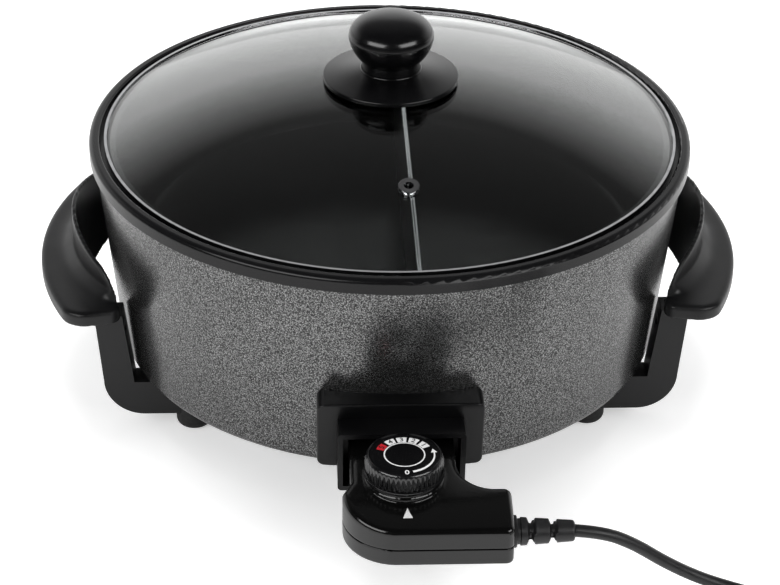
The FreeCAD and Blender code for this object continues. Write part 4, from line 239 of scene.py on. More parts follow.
# Finishes that follow a fine noise. Grain is the size of its spots, toneGrain that of broader tone spots
# and depth that of the bump. Colours and roughness run between two ends over the noise's span.
finishSettings = {
    # sprayed PTFE on aluminium: even satin black with a very fine orange peel
    "nonStickCoating": {
        "sockets": {"IOR": 1.4, "Specular IOR Level": 0.4}, "colours": ("#0b0b0c", "#101011"),
        "roughness": (0.18, 0.26), "toneGrain": 40, "grain": 1.2, "depth": 0.012,
    },
    # compression-moulded phenolic: dull black with the fine bloom that the mould leaves
    "mouldedPhenolic": {
        "sockets": {"IOR": 1.6, "Specular IOR Level": 0.28}, "colours": ("#0d0d0e", "#141415"),
        "roughness": (0.32, 0.44), "toneGrain": 25, "grain": 0.9, "depth": 0.03,
    },
    # the same from a smoother mould: deeper black with a satin sheen
    "satinPhenolic": {
        "sockets": {"IOR": 1.6, "Specular IOR Level": 0.22}, "colours": ("#060607", "#0a0a0b"),
        "roughness": (0.28, 0.36), "toneGrain": 25, "grain": 0.9, "depth": 0.015,
    },
    # polished after moulding: soft-edged highlights
    "polishedPhenolic": {
        "sockets": {"IOR": 1.6, "Specular IOR Level": 0.45}, "colours": ("#060607", "#0a0a0b"),
        "roughness": (0.16, 0.24), "toneGrain": 25, "grain": 2.0, "depth": 0.006,
    },
    # glossy from the mould, for the dial: bright lines on its ribs
    "dialPhenolic": {
        "sockets": {"IOR": 1.6, "Specular IOR Level": 0.55}, "colours": ("#09090a", "#0e0e0f"),
        "roughness": (0.12, 0.2), "toneGrain": 25, "grain": 1.0, "depth": 0.008,
    },
    # the dial's flat face, smooth enough to print on: near-black, mirrors the light dimly
    "dialTopPhenolic": {
        "sockets": {"IOR": 1.6, "Specular IOR Level": 0.35}, "colours": ("#070708", "#0a0a0b"),
        "roughness": (0.1, 0.18), "toneGrain": 25, "grain": 2.0, "depth": 0.004,
    },
    # polished ABS shells: deep gloss with a few fine rub marks
    "glossyAbs": {
        "sockets": {"Base Color": linear("#070707"), "IOR": 1.54, "Specular IOR Level": 0.45},
        "roughness": (0.08, 0.2), "span": (0.0, 1.0), "stretch": (1, 6, 1),
        "detail": 4.0, "grain": 4, "depth": 0.006,
    },
    # extruded PVC jacket: soft sheen, slight waviness from the die
    "pvcCordJacket": {
        "sockets": {"IOR": 1.53, "Specular IOR Level": 0.4}, "colours": ("#131314", "#1b1b1c"),
        "roughness": (0.34, 0.48), "grain": 6, "depth": 0.05,
    },
    # moulded rubber feet: dull, dusty black
    "nitrileRubber": {
        "sockets": {"IOR": 1.52, "Roughness": 0.75}, "colours": ("#121212", "#202020"),
        "detail": 4.0, "grain": 2, "depth": 0.06,
    },
    # silicone: slightly greasy sheen, faint mottling; grey as a seal, red-brown as a wire's sleeve
    "siliconeSeal": {**silicone, "colours": ("#4a4a4a", "#5c5c5c")},
    "siliconeSleeve": {**silicone, "colours": ("#6b3a1c", "#8a4c26")},
    # bent toughened soda-lime glass: clear, with the faintest roller waviness
    "toughenedGlass": {
        "sockets": {
            "Base Color": linear("#fafdfc"), "Roughness": 0.0, "IOR": 1.5, "Transmission Weight": 1.0,
        },
        "detail": 1.0, "grain": 60, "depth": 0.04,
    },
    # pressed steatite: cream, chalky, with tiny pores
    "steatiteCeramic": {
        "sockets": {"IOR": 1.6, "Roughness": 0.7}, "colours": ("#cfc7b2", "#e6dfcd"),
        "detail": 4.0, "grain": 0.8, "depth": 0.05,
    },
    # zinc plate on steel: cool grey with a soft sheen
    "zincPlate": {
        **bareMetal, "colours": ("#9a9b9e", "#b9babc"), "roughness": (0.28, 0.42), "grain": 2,
    },
    # nickel plate on brass: bright, a little warm
    "nickelPlatedBrass": {
        **bareMetal, "colours": ("#b4ac98", "#cfc8b6"), "roughness": (0.2, 0.32), "grain": 2,
    },
    # polished stainless steel: near-white with sharp reflections
    "polishedStainless": {
        **bareMetal, "colours": ("#c4c4c6", "#dcdcde"), "roughness": (0.10, 0.2), "grain": 8,
    },
    # oil-blackened steel: dark grey metal
    "blackenedScrew": {
        **bareMetal, "colours": ("#1c1c1d", "#2a2a2b"), "roughness": (0.3, 0.45), "grain": 1.5,
    },
    # steel sheet dipped in aluminium: pale and soft
    "aluminisedSteel": {
        **bareMetal, "colours": ("#a9abad", "#c3c5c7"), "roughness": (0.35, 0.5), "grain": 5,
    },
    # sheath of the element, browned by heat
    "oxidisedSheath": {
        **bareMetal, "colours": ("#4a4540", "#6a6259"), "roughness": (0.45, 0.6), "grain": 3,
    },
    # die-cast aluminium: flat grey with a rough skin
    "castAluminium": {
        **bareMetal, "colours": ("#8f9092", "#a8a9ab"), "roughness": (0.45, 0.6), "grain": 1.5,
        "depth": 0.06,
    },
    # screen-printed inks: thin, even and a little glossy
    "whiteInk": {**thinInk, "colours": ("#c6c6c6", "#e2e2e2")},
    "redInk": {**thinInk, "colours": ("#a31c25", "#c0202b")},
    "blackInk": {**thinInk, "colours": ("#191919", "#0c0c0c")},
    "greyInk": {**thinInk, "colours": ("#a8a8a8", "#c8c8c8")},
}


def grainedFinish(name):
    finish = finishSettings[name]
    material, tree, shader, place = startMaterial(name, finish["sockets"])
    if "stretch" in finish:
        place = addNode(tree, "ShaderNodeMapping", {"Vector": place, "Scale": finish["stretch"]})
    detail = finish.get("detail", usualDetail)
    spots = {"Vector": place, "Scale": perGrain(finish["grain"]), "Detail": detail}
    texture = addNode(tree, "ShaderNodeTexNoise", spots)
    tone = texture
    if "toneGrain" in finish:
        tone = addNode(tree, "ShaderNodeTexNoise", {**spots, "Scale": perGrain(finish["toneGrain"])})
    start, end = finish.get("span", usualSpan)
    if "colours" in finish:
        first, second = finish["colours"]
        ramp = addNode(tree, "ShaderNodeValToRGB", {"Fac": tone})
        setStops(ramp, [(start, first), (end, second)])
        setSockets(tree, shader, {"Base Color": ramp})
    if "roughness" in finish:
        low, high = finish["roughness"]
        ends = {"Value": tone, "From Min": start, "From Max": end, "To Min": low, "To Max": high}
        setSockets(tree, shader, {"Roughness": addNode(tree, "ShaderNodeMapRange", ends)})
    if "depth" in finish:
        bump = addNode(tree, "ShaderNodeBump", {"Height": texture, "Distance": finish["depth"] * mm})
        setSockets(tree, shader, {"Normal": bump})
    return material


hammertoneSettings = {
    "metallic": 0.9,
    "dimple": 0.75,  # a little coarser than the real one, so that it shows
    "mottle": 0.5,
    "bendGrain": 1.8,
    "bendDetail": 2.0,
    "bend": 0.7,
    "tones": [(0.0, "#b2b2b2"), (0.13, "#7e7e7e"), (0.24, "#444444"), (0.4, "#282828")],
    "roughness": (0.18, 0.3),
    "depth": 0.035,
}


# Stoved hammer enamel: aluminium flake pools in small pale dimples between dark walls
def hammertoneEnamel():
    settings = hammertoneSettings
    material, tree, shader, place = startMaterial("hammertoneEnamel", {"Metallic": settings["metallic"]})
    waves = {"Vector": place, "Scale": perGrain(settings["bendGrain"]), "Detail": settings["bendDetail"]}
    warp = addNode(tree, "ShaderNodeTexNoise", waves).outputs["Color"]
    reach = [settings["bend"] * mm] * 3
    bent = addNode(tree, "ShaderNodeVectorMath", {0: warp, 1: reach}, operation="MULTIPLY")
    moved = addNode(tree, "ShaderNodeVectorMath", {0: place, 1: bent}, operation="ADD")
    cells = {"Vector": moved, "Scale": perGrain(settings["dimple"])}
    dimples = addNode(tree, "ShaderNodeTexVoronoi", cells, feature="SMOOTH_F1").outputs["Distance"]
    spots = {"Vector": place, "Scale": perGrain(settings["mottle"]), "Detail": usualDetail}
    mottle = addNode(tree, "ShaderNodeTexNoise", spots)
    mixed = addNode(tree, "ShaderNodeMath", {0: dimples, 1: mottle}, operation="MULTIPLY")
    ramp = addNode(tree, "ShaderNodeValToRGB", {"Fac": mixed})
    setStops(ramp, settings["tones"])
    low, high = settings["roughness"]
    rough = addNode(tree, "ShaderNodeMapRange", {"Value": dimples, "To Min": low, "To Max": high})
    bump = addNode(tree, "ShaderNodeBump", {"Height": dimples, "Distance": settings["depth"] * mm})
    setSockets(tree, shader, {"Base Color": ramp, "Roughness": rough, "Normal": bump})
    return material


greyNonStickSettings = {
    "colours": ("#2b2b2d", "#3a3a3c"),
    "bareColour": "#c9cacc",
    "bareDepth": (0.5, 0.3),  # below the top edge, from coated to bare
    "roughness": (0.32, 0.42),
    "grain": 1.5,
    "depth": 0.03,
}


# The divider's sheet has the same coating in dark grey; its cut top edge is bare aluminium
def greyNonStick():
    settings = greyNonStickSettings
    material, tree, shader, place = startMaterial("greyNonStick", {"IOR": 1.4})
    spots = {"Vector": place, "Scale": perGrain(settings["grain"]), "Detail": usualDetail}
    peel = addNode(tree, "ShaderNodeTexNoise", spots)
    height = addNode(tree, "ShaderNodeSeparateXYZ", {"Vector": place}).outputs["Z"]
    start, end = [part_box("divider_plate")[1][2] - depth * mm for depth in settings["bareDepth"]]
    bare = addNode(tree, "ShaderNodeMapRange", {"Value": height, "From Min": start, "From Max": end})
    coat = addNode(tree, "ShaderNodeValToRGB", {"Fac": peel})
    setStops(coat, list(zip(usualSpan, settings["colours"])))
    tones = {"Factor": bare, 6: coat, 7: linear(settings["bareColour"])}
    toned = addNode(tree, "ShaderNodeMix", tones, data_type="RGBA").outputs[2]
    low, high = settings["roughness"]
    rough = addNode(tree, "ShaderNodeMapRange", {"Value": peel, "To Min": low, "To Max": high})
    bump = addNode(tree, "ShaderNodeBump", {"Height": peel, "Distance": settings["depth"] * mm})
    setSockets(tree, shader, {"Base Color": toned, "Metallic": bare, "Roughness": rough, "Normal": bump})
    return material


legs = [f"{end}_{side}_leg" for end in ("front", "rear") for side in ("left", "right")]
feet = [f"{end}_{side}_foot" for end in ("front", "rear") for side in ("left", "right")]
finishParts = {
    "hammertoneEnamel": ["casing_shell"],
    "nonStickCoating": ["pan_insert"],
    "greyNonStick": ["divider_plate"],
    "mouldedPhenolic": ["left_handle", "right_handle", "cord_clamp"] + legs,
    "satinPhenolic": ["inlet_housing"],
    "polishedPhenolic": ["knob_base", "lid_knob"],
    "dialPhenolic": ["dial_knob"],
    "dialTopPhenolic": ["dial_face"],
    "glossyAbs": ["controller_cover", "controller_base"],
    "pvcCordJacket": ["strain_relief", "mains_plug", "cord_tie"],
    "nitrileRubber": feet,
    "siliconeSeal": ["knob_washer"],
    "siliconeSleeve": ["internal_leads"],
    "toughenedGlass": ["lid_glass"],
    "polishedStainless": ["lid_hoop", "vent_eyelet", "sensor_probe"],
    "blackenedScrew": ["handle_screws", "controller_screws", "inlet_screws"],
    "zincPlate": [
        "bottom_plate", "element_clamps", "element_nuts", "leg_screws", "foot_screws", "leg_nuts",
        "knob_screw", "clamp_screws", "thermostat_frame", "dial_shaft",
    ],
    "nickelPlatedBrass": [
        "left_terminal_pin", "right_terminal_pin", "earth_spring", "left_contact", "right_contact",
        "switch_blades", "plug_pins", "earth_clips",
    ],
    "aluminisedSteel": ["heat_shield"],
    "oxidisedSheath": ["heating_element"],
    "castAluminium": ["probe_sleeve"],
    "steatiteCeramic": ["terminal_block", "contact_carrier"],
}


def dressNodes():
    built = {"hammertoneEnamel": hammertoneEnamel, "greyNonStick": greyNonStick}
    finishOf = {}
    for finish, names in finishParts.items():
        material = built[finish]() if finish in built else grainedFinish(finish)
        for name in names:
            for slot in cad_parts[name].material_slots:
                slot.material = material
            finishOf[name] = material
    print("without a finish:", sorted(set(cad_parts) - set(finishOf)))
    return finishOf


# Modelled pieces

# a scene object from a bmesh, which it frees
def newObject(name, work):
    mesh = bpy.data.meshes.new(name)
    work.to_mesh(mesh)
    work.free()
    added = bpy.data.objects.new(name, mesh)
    bpy.context.scene.collection.objects.link(added)
    return added


# closes a modelled piece: normals, finishes and body, and smooth shading if a sharp angle is given
def finishPiece(name, work, materials, body, sharp=None):
    work.normal_update()
    bmesh.ops.recalc_face_normals(work, faces=work.faces)
    piece = newObject(name, work)
    mesh = piece.data
    if sharp:
        mesh.polygons.foreach_set("use_smooth", [True] * len(mesh.polygons))
        mesh.set_sharp_from_angle(angle=math.radians(sharp))
    for material in materials:
        mesh.materials.append(material)
    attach(piece, body)
    return piece


weldDistance = 0.001 * mm


# a closed profile of (radius, height) turned round the vertical axis; points on the axis become one
def turnProfile(profile, steps):
    work = bmesh.new()
    corners = [work.verts.new((radius * mm, 0, height * mm)) for radius, height in profile]
    edges = [work.edges.new((corners[number - 1], corners[number])) for number in range(len(corners))]
    turn = {"cent": (0, 0, 0), "axis": (0, 0, 1), "angle": 2 * math.pi, "steps": steps}
    bmesh.ops.spin(work, geom=corners + edges, use_merge=True, **turn)
    bmesh.ops.remove_doubles(work, verts=work.verts, dist=weldDistance)
    return work


# Knob

knobSettings = {
    "steps": 96,
    "sharp": 30,  # degrees
    "neckRadius": 17.2,
    "neckLow": 206.9,
    "underside": [(17.2, 212.0), (18.9, 213.7), (21.1, 216.4), (22.9, 219.4), (24.1, 222.2), (24.9, 225.2)],
    "wideRadius": 25.2,
    "wideHeight": 226.7,
    "bandHalf": 0.5,
    "bandTaper": 0.1,
    "grooveDepth": 0.35,
    "grooveHalf": 0.15,
    "topHeight": 240.1,
    "shoulder": 2.3,  # 2 is an ellipse, more is fuller
    "domeSteps": 14,
    "boreRadius": 2.2,
    "boreTop": 220.5,
}


def addKnob(material):
    wide = knobSettings["wideRadius"]
    base = knobSettings["wideHeight"]
    band = knobSettings["bandHalf"]
    rise = knobSettings["topHeight"] - base
    power = knobSettings["shoulder"]
    groove = wide - knobSettings["grooveDepth"]
    half = knobSettings["grooveHalf"]
    bore = knobSettings["boreRadius"]
    profile = [(bore, knobSettings["neckLow"]), (knobSettings["neckRadius"], knobSettings["neckLow"])]
    profile += knobSettings["underside"] + [(wide - knobSettings["bandTaper"], base - band)]
    profile += [(groove, base - half), (groove, base + half), (wide, base + band)]
    for step in range(1, knobSettings["domeSteps"] + 1):
        turn = math.pi / 2 * step / knobSettings["domeSteps"]
        radius = wide * math.cos(turn) ** (2 / power)
        profile.append((max(radius, 0), base + band + (rise - band) * math.sin(turn) ** (2 / power)))
    profile += [(0, knobSettings["boreTop"]), (bore, knobSettings["boreTop"])]
    work = turnProfile(profile, knobSettings["steps"])
    knob = finishPiece("lidKnob", work, [material], "lid", knobSettings["sharp"])
    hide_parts("lid_knob")


knobBaseSettings = {
    "steps": 96,
    "sharp": 30,  # degrees
    "glassDome": 436.0,  # radius of the glass's curve
    "glassGap": 0.05,
    "seatRadius": 13.0,
    "holeRadius": 3.2,
    "seatWall": 2.6,
    "discRadius": 40.4,
    "discLow": 199.7,
    "discTop": 202.6,
    "discLip": [(2.6, 0.4), (1.2, 0.0), (0.3, 0.2)],  # inwards from the edge, upwards from the underside
    "discRound": 0.7,
    "discSlope": 1.25,
    "discSteps": 4,
    "beadRadius": 18.3,
    "beadLow": 206.3,
    "beadRound": 0.8,
    "beadTop": 207.4,
    "beadStep": [(1.0, 207.2), (1.05, 206.85)],  # inwards from the bead, and the height
}


# points of a quarter circle from the side of an edge to its top
def roundedEdge(radius, height, size, steps=5):
    points = []
    for step in range(steps + 1):
        turn = math.radians(90 * step / steps)
        points.append((radius - size + size * math.cos(turn), height - size + size * math.sin(turn)))
    return points


# height of the glass at a distance from the lid's axis
def glassHeight(radius):
    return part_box("lid_glass")[1][2] / mm - radius ** 2 / (2 * knobBaseSettings["glassDome"])


def addKnobBase(material):
    seat = knobBaseSettings["seatRadius"]
    hole = knobBaseSettings["holeRadius"]
    gap = knobBaseSettings["glassGap"]
    low = knobBaseSettings["discLow"]
    top = knobBaseSettings["discTop"]
    wide = knobBaseSettings["discRadius"]
    edge = knobBaseSettings["discRound"]
    bead = knobBaseSettings["beadRadius"]
    rise = knobBaseSettings["beadLow"] - top
    profile = [(hole, glassHeight(hole) + gap), (seat, glassHeight(seat) + gap)]
    profile.append((seat, glassHeight(seat) + knobBaseSettings["seatWall"]))
    profile += [(wide - inwards, low + upwards) for inwards, upwards in knobBaseSettings["discLip"]]
    profile += [(wide, low + edge)] + roundedEdge(wide, top, edge)
    for step in range(1, knobBaseSettings["discSteps"] + 1):
        share = step / knobBaseSettings["discSteps"]
        radius = wide - edge + (bead - wide + edge) * share
        profile.append((radius, top + rise * share ** knobBaseSettings["discSlope"]))
    profile += roundedEdge(bead, knobBaseSettings["beadTop"], knobBaseSettings["beadRound"])
    profile += [(bead - inwards, height) for inwards, height in knobBaseSettings["beadStep"]]
    profile.append((hole, knobBaseSettings["beadStep"][-1][1]))
    work = turnProfile(profile, knobBaseSettings["steps"])
    disc = finishPiece("knobBase", work, [material], "lid", knobBaseSettings["sharp"])
    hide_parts("knob_base")


# Mouldings with rounded edges

mouldSettings = {
    "weld": 0.002,
    "grid": {"handle": 0.85, "shell": 0.6},
    "rounds": {"handle": 5, "shell": 2},
    "smoothing": 0.5,
    "sharp": 60,  # degrees
    "blendRounds": 70,
    "guardCentre": 83.1,
    "blendFrom": 110.9,
    "blendTo": 122.0,
    "blendLow": 88.6,
    "blendHigh": 101.0,
    "blendHalf": 80.0,
}


def relax(work, vertices, rounds):
    axes = {"use_axis_x": True, "use_axis_y": True, "use_axis_z": True}
    for turn in range(rounds):
        bmesh.ops.smooth_vert(work, verts=vertices, factor=mouldSettings["smoothing"], **axes)


# the hollow between guard and plate runs out softly into the plate
def smoothBlend(work):
    inside = []
    for vertex in work.verts:
        across, along, height = [value / mm for value in vertex.co]
        reach = math.hypot(abs(across) - mouldSettings["guardCentre"], along)
        near = mouldSettings["blendFrom"] < reach < mouldSettings["blendTo"]
        flat = mouldSettings["blendLow"] < height < mouldSettings["blendHigh"]
        if near and flat and abs(along) < mouldSettings["blendHalf"]:
            inside.append(vertex)
    relax(work, inside, mouldSettings["blendRounds"])


# a copy of a moulded part whose edges are rounded as the mould's were
def addMoulding(name, node, material, body, kind):
    work = bmesh.new()
    work.from_mesh(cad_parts[node].data)
    bmesh.ops.remove_doubles(work, verts=work.verts, dist=mouldSettings["weld"] * mm)
    holder = newObject(name + "Grid", work)
    grid = holder.modifiers.new("grid", "REMESH")
    grid.mode = "VOXEL"
    grid.voxel_size = mouldSettings["grid"][kind] * mm
    ready = holder.evaluated_get(bpy.context.evaluated_depsgraph_get())
    work = bmesh.new()
    work.from_mesh(ready.to_mesh())
    ready.to_mesh_clear()
    bpy.data.objects.remove(holder)
    if kind == "handle":
        smoothBlend(work)
    relax(work, work.verts, mouldSettings["rounds"][kind])
    piece = finishPiece(name, work, [material], body, mouldSettings["sharp"])
    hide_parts(node)
    print(name, len(piece.data.polygons), "faces")


# Dial and collar

dialCentre = (0, -0.221, 0)  # in metres

ribbedDialSettings = {
    "ribs": 48,
    "pointsPerRib": 8,
    "ribDepth": 0.75,
    "sharp": 40,  # degrees
    "outline": [  # radius, height and share of the ribs' depth, from the face to the shaft's bore
        (0, 82.2, 0), (19.25, 82.2, 0), (19.25, 83.15, 0), (19.45, 83.28, 0), (19.8, 83.22, 0),
        (20.2, 82.95, 0), (20.6, 82.5, 0), (20.95, 81.85, 0.1), (21.2, 81.1, 0.3), (21.4, 80.1, 0.7),
        (21.5, 78.9, 1), (21.4, 73.4, 1), (21.1, 73.0, 0.6), (20.7, 72.7, 0), (21.5, 72.4, 0),
        (21.9, 72.2, 0), (22.0, 71.8, 0), (21.9, 71.0, 0), (21.7, 70.85, 0), (19.0, 70.85, 0),
        (19.0, 79.8, 0), (9.0, 79.8, 0), (9.0, 70.85, 0), (3.05, 70.85, 0), (3.05, 79.8, 0), (0, 79.8, 0),
    ],
}


# the dial is turned, then its ribs are pressed in, running out under its rounded upper edge
def addDial(material):
    ribs = ribbedDialSettings["ribs"]
    outline = ribbedDialSettings["outline"]
    profile = [(radius, height) for radius, height, share in outline]
    work = turnProfile(profile, ribs * ribbedDialSettings["pointsPerRib"])
    shareAt = {height: share for radius, height, share in outline if share}
    for vertex in work.verts:
        share = shareAt.get(round(vertex.co.z / mm, 2), 0)
        if share:
            across, along = vertex.co.xy
            wave = (1 - math.cos(ribs * math.atan2(along, across))) / 2
            kept = 1 - ribbedDialSettings["ribDepth"] * mm * share * wave / math.hypot(across, along)
            vertex.co.xy = (across * kept, along * kept)
    bmesh.ops.translate(work, verts=work.verts, vec=dialCentre)
    dial = finishPiece("ribbedDial", work, [material], "dial", ribbedDialSettings["sharp"])
    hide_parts("dial_knob")


collarSettings = {
    "steps": 96,
    "sharp": 40,  # degrees
    "outline": [  # the two steps under the dial
        (0, 66.5), (19.0, 66.5), (22.3, 66.5), (22.3, 68.35), (22.15, 68.62), (21.85, 68.72), (21.3, 68.72),
        (21.3, 70.1), (21.15, 70.37), (20.85, 70.45), (19.0, 70.45), (0, 70.45),
    ],
}


# the crisp steps of the controller's collar
def addCollar(material):
    work = turnProfile(collarSettings["outline"], collarSettings["steps"])
    bmesh.ops.translate(work, verts=work.verts, vec=dialCentre)
    finishPiece("dialCollar", work, [material], "controller", collarSettings["sharp"])


# Strain relief

reliefSettings = {
    "axis": (-247.3, 50.0),  # it lies along +X at this Y and Z
    "steps": 72,
    "sharp": 40,  # degrees
    "stub": [(0, 37.0), (3.5, 37.0), (3.5, 52.3), (7.4, 52.35), (7.4, 55.3), (5.0, 55.35), (5.0, 57.5)],
    "ring": [(8.3, 57.55), (8.8, 57.8), (8.85, 59.1), (8.5, 59.5), (7.1, 59.8), (7.0, 61.3)],
    "rootPlace": 61.7,
    "rootRadius": 7.75,
    "tipPlace": 91.0,
    "tipRadius": 5.7,
    "tipRound": 1.6,
    "spacing": 0.35,
    "notches": (67.3, 79.1),  # cut in above and below
    "notchHalf": 2.3,
    "notchFrom": 0.3,  # sine of the angle at which a notch starts
    "notchFade": 0.2,
    "slots": (66.8, 78.6),  # cut in at the sides
    "slotHalf": 1.5,
    "slotFrom": 0.82,  # cosine of the angle at which a slot starts
    "slotFade": 0.12,
    "steepness": 1.8,
    "depth": 3.0,
}


# how deep the strain relief is cut at a place along it and an angle round it
def reliefCut(along, turn):
    upright = smoothStep((abs(math.sin(turn)) - reliefSettings["notchFrom"]) / reliefSettings["notchFade"])
    sideways = smoothStep((abs(math.cos(turn)) - reliefSettings["slotFrom"]) / reliefSettings["slotFade"])
    cuts = [0.0]
    for middles, half, share in (("notches", "notchHalf", upright), ("slots", "slotHalf", sideways)):
        for middle in reliefSettings[middles]:
            near = 1 - abs(along - middle) / reliefSettings[half]
            cuts.append(min(max(near, 0) * reliefSettings["steepness"], 1) * share)
    return reliefSettings["depth"] * max(cuts)


# turned upright at the origin, cut, and laid along its axis
def addStrainRelief(material):
    root = reliefSettings["rootRadius"]
    start = reliefSettings["rootPlace"]
    reach = reliefSettings["tipPlace"] - start
    tipRound = reliefSettings["tipRound"]
    count = int(reach / reliefSettings["spacing"])
    profile = reliefSettings["stub"] + reliefSettings["ring"]
    for number in range(count + 1):
        share = number / count
        past = max(1 - reach * (1 - share) / tipRound, 0)
        radius = root + (reliefSettings["tipRadius"] - root) * share
        radius -= tipRound * (1 - math.sqrt(1 - past * past))
        profile.append((radius, start + reach * share))
    profile.append((0, reliefSettings["tipPlace"]))
    work = turnProfile(profile, reliefSettings["steps"])
    for vertex in work.verts:
        across, height, along = vertex.co
        cut = reliefCut(along / mm, math.atan2(height, across)) * mm
        kept = 1 - cut / math.hypot(across, height) if cut > 0 else 1
        side = reliefSettings["axis"][0] * mm + across * kept
        vertex.co = (along, side, reliefSettings["axis"][1] * mm + height * kept)
    sharp = reliefSettings["sharp"]
    relief = finishPiece("ribbedRelief", work, [material], "controller", sharp)
    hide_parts("strain_relief")


# Inlet plate

inletSettings = {
    "half": 46.6,
    "low": 42.9,
    "high": 88.1,
    "corner": 4.5,
    "cornerSteps": 6,
    "holeHalf": 34.0,
    "holeTop": 76.5,
    "front": 181.0,  # at the upper edge
    "lean": 0.14,
    "depth": 14.0,
    "round": 2.8,
    "roundSteps": 5,
    "sharp": 35,  # degrees
}


# the flat front of the inlet's plate, open at the hood
def addInletPlate(material):
    half = inletSettings["half"]
    high = inletSettings["high"]
    low = inletSettings["low"]
    corner = inletSettings["corner"]
    steps = inletSettings["cornerSteps"]
    outline = []
    for side, height, start in ((1, low, -90), (1, high, 0), (-1, high, 90), (-1, low, 180)):
        middle = (side * (half - corner), height - corner if height == high else height + corner)
        for step in range(steps + 1):
            turn = math.radians(start + 90 * step / steps)
            outline.append((middle[0] + corner * math.cos(turn), middle[1] + corner * math.sin(turn)))
    hole = inletSettings["holeHalf"]
    top = inletSettings["holeTop"]
    notch = [(-hole, low), (-hole, top), (hole, top), (hole, low)]
    work = bmesh.new()
    corners = [work.verts.new((x * mm, 0, z * mm)) for x, z in outline + notch]
    face = work.faces.new(corners)
    inner = corners[-len(notch):]
    outer = [edge for edge in work.edges if not any(vertex in inner for vertex in edge.verts)]
    raised = bmesh.ops.extrude_face_region(work, geom=[face])
    moved = [item for item in raised["geom"] if isinstance(item, bmesh.types.BMVert)]
    bmesh.ops.translate(work, verts=moved, vec=(0, inletSettings["depth"] * mm, 0))
    for vertex in work.verts:
        lean = (high - vertex.co.z / mm) * inletSettings["lean"]
        vertex.co.y += (lean - inletSettings["front"]) * mm
    size = {"offset": inletSettings["round"] * mm, "segments": inletSettings["roundSteps"], "profile": 0.5}
    bmesh.ops.bevel(work, geom=outer, affect="EDGES", offset_type="OFFSET", clamp_overlap=True, **size)
    finishPiece("inletPlate", work, [material], "base", inletSettings["sharp"])


# Printed marks

dialPrintSettings = {
    "ringRadius": 10.9,
    "ringSteps": 32,
    "lineWidth": 0.7,
    "blockRadius": 13.8,
    "blockSize": (5.2, 4.4),
    "blockSteps": 6,
    "blockAngles": (150, 121, 94, 67, 39),  # degrees from +X, for 5, 4, 3, 2 and 1
    "digitSize": 4.6,
    "digitWeight": 0.08,
    "digitSteps": 3,
    "zeroRadius": 16.5,
    "zeroAngle": -87.6,
    "zeroSize": 5.2,
    "arrowRadius": 16.2,
    "arrowStart": -76,
    "arrowEnd": 6,
    "arrowSteps": 24,
    "arrowTail": 1.6,
    "headWidth": 3.4,
    "headAngle": 12,
    "thickness": 0.06,
}


# a flat printed shape with a little thickness; corners are (x, y, height) in metres
def addSlab(work, corners, thickness, index=0):
    face = work.faces.new([work.verts.new(corner) for corner in corners])
    face.material_index = index
    raised = bmesh.ops.extrude_face_region(work, geom=[face])
    top = [item for item in raised["geom"] if isinstance(item, bmesh.types.BMVert)]
    bmesh.ops.translate(work, verts=top, vec=(0, 0, thickness))
    for vertex in top:
        for near in vertex.link_faces:
            near.material_index = index


# a place on the dial's face from its radius in millimetres and its angle in degrees
def dialPoint(radius, angle, height):
    turn = math.radians(angle)
    across = dialCentre[0] + radius * mm * math.cos(turn)
    return (across, dialCentre[1] + radius * mm * math.sin(turn), height)


# corners of a curved band whose width runs from one value to another
def arcBand(radius, widths, start, end, steps, height):
    outer = []
    inner = []
    for step in range(steps + 1):
        share = step / steps
        angle = start + (end - start) * share
        half = (widths[0] + (widths[1] - widths[0]) * share) / 2
        outer.append(dialPoint(radius + half, angle, height))
        inner.append(dialPoint(radius - half, angle, height))
    return outer + inner[::-1]


# a digit as a thin solid, turned to face the dial's rim
def addDigit(work, text, size, place, turn, thickness, index):
    curve = bpy.data.curves.new("digit" + text, "FONT")
    curve.body = text
    curve.size = size * mm
    curve.extrude = thickness / 2
    curve.offset = dialPrintSettings["digitWeight"] * mm
    curve.align_x = "CENTER"
    curve.align_y = "CENTER"
    curve.resolution_u = dialPrintSettings["digitSteps"]
    holder = bpy.data.objects.new("digit" + text, curve)
    bpy.context.scene.collection.objects.link(holder)
    mesh = bpy.data.meshes.new_from_object(holder)
    bpy.data.objects.remove(holder)
    lift = Vector((0, 0, thickness / 2))
    mesh.transform(Matrix.Translation(Vector(place) + lift) @ Matrix.Rotation(turn, 4, "Z"))
    before = len(work.faces)
    work.from_mesh(mesh)
    work.faces.ensure_lookup_table()
    for face in work.faces[before:]:
        face.material_index = index
    bpy.data.meshes.remove(mesh)


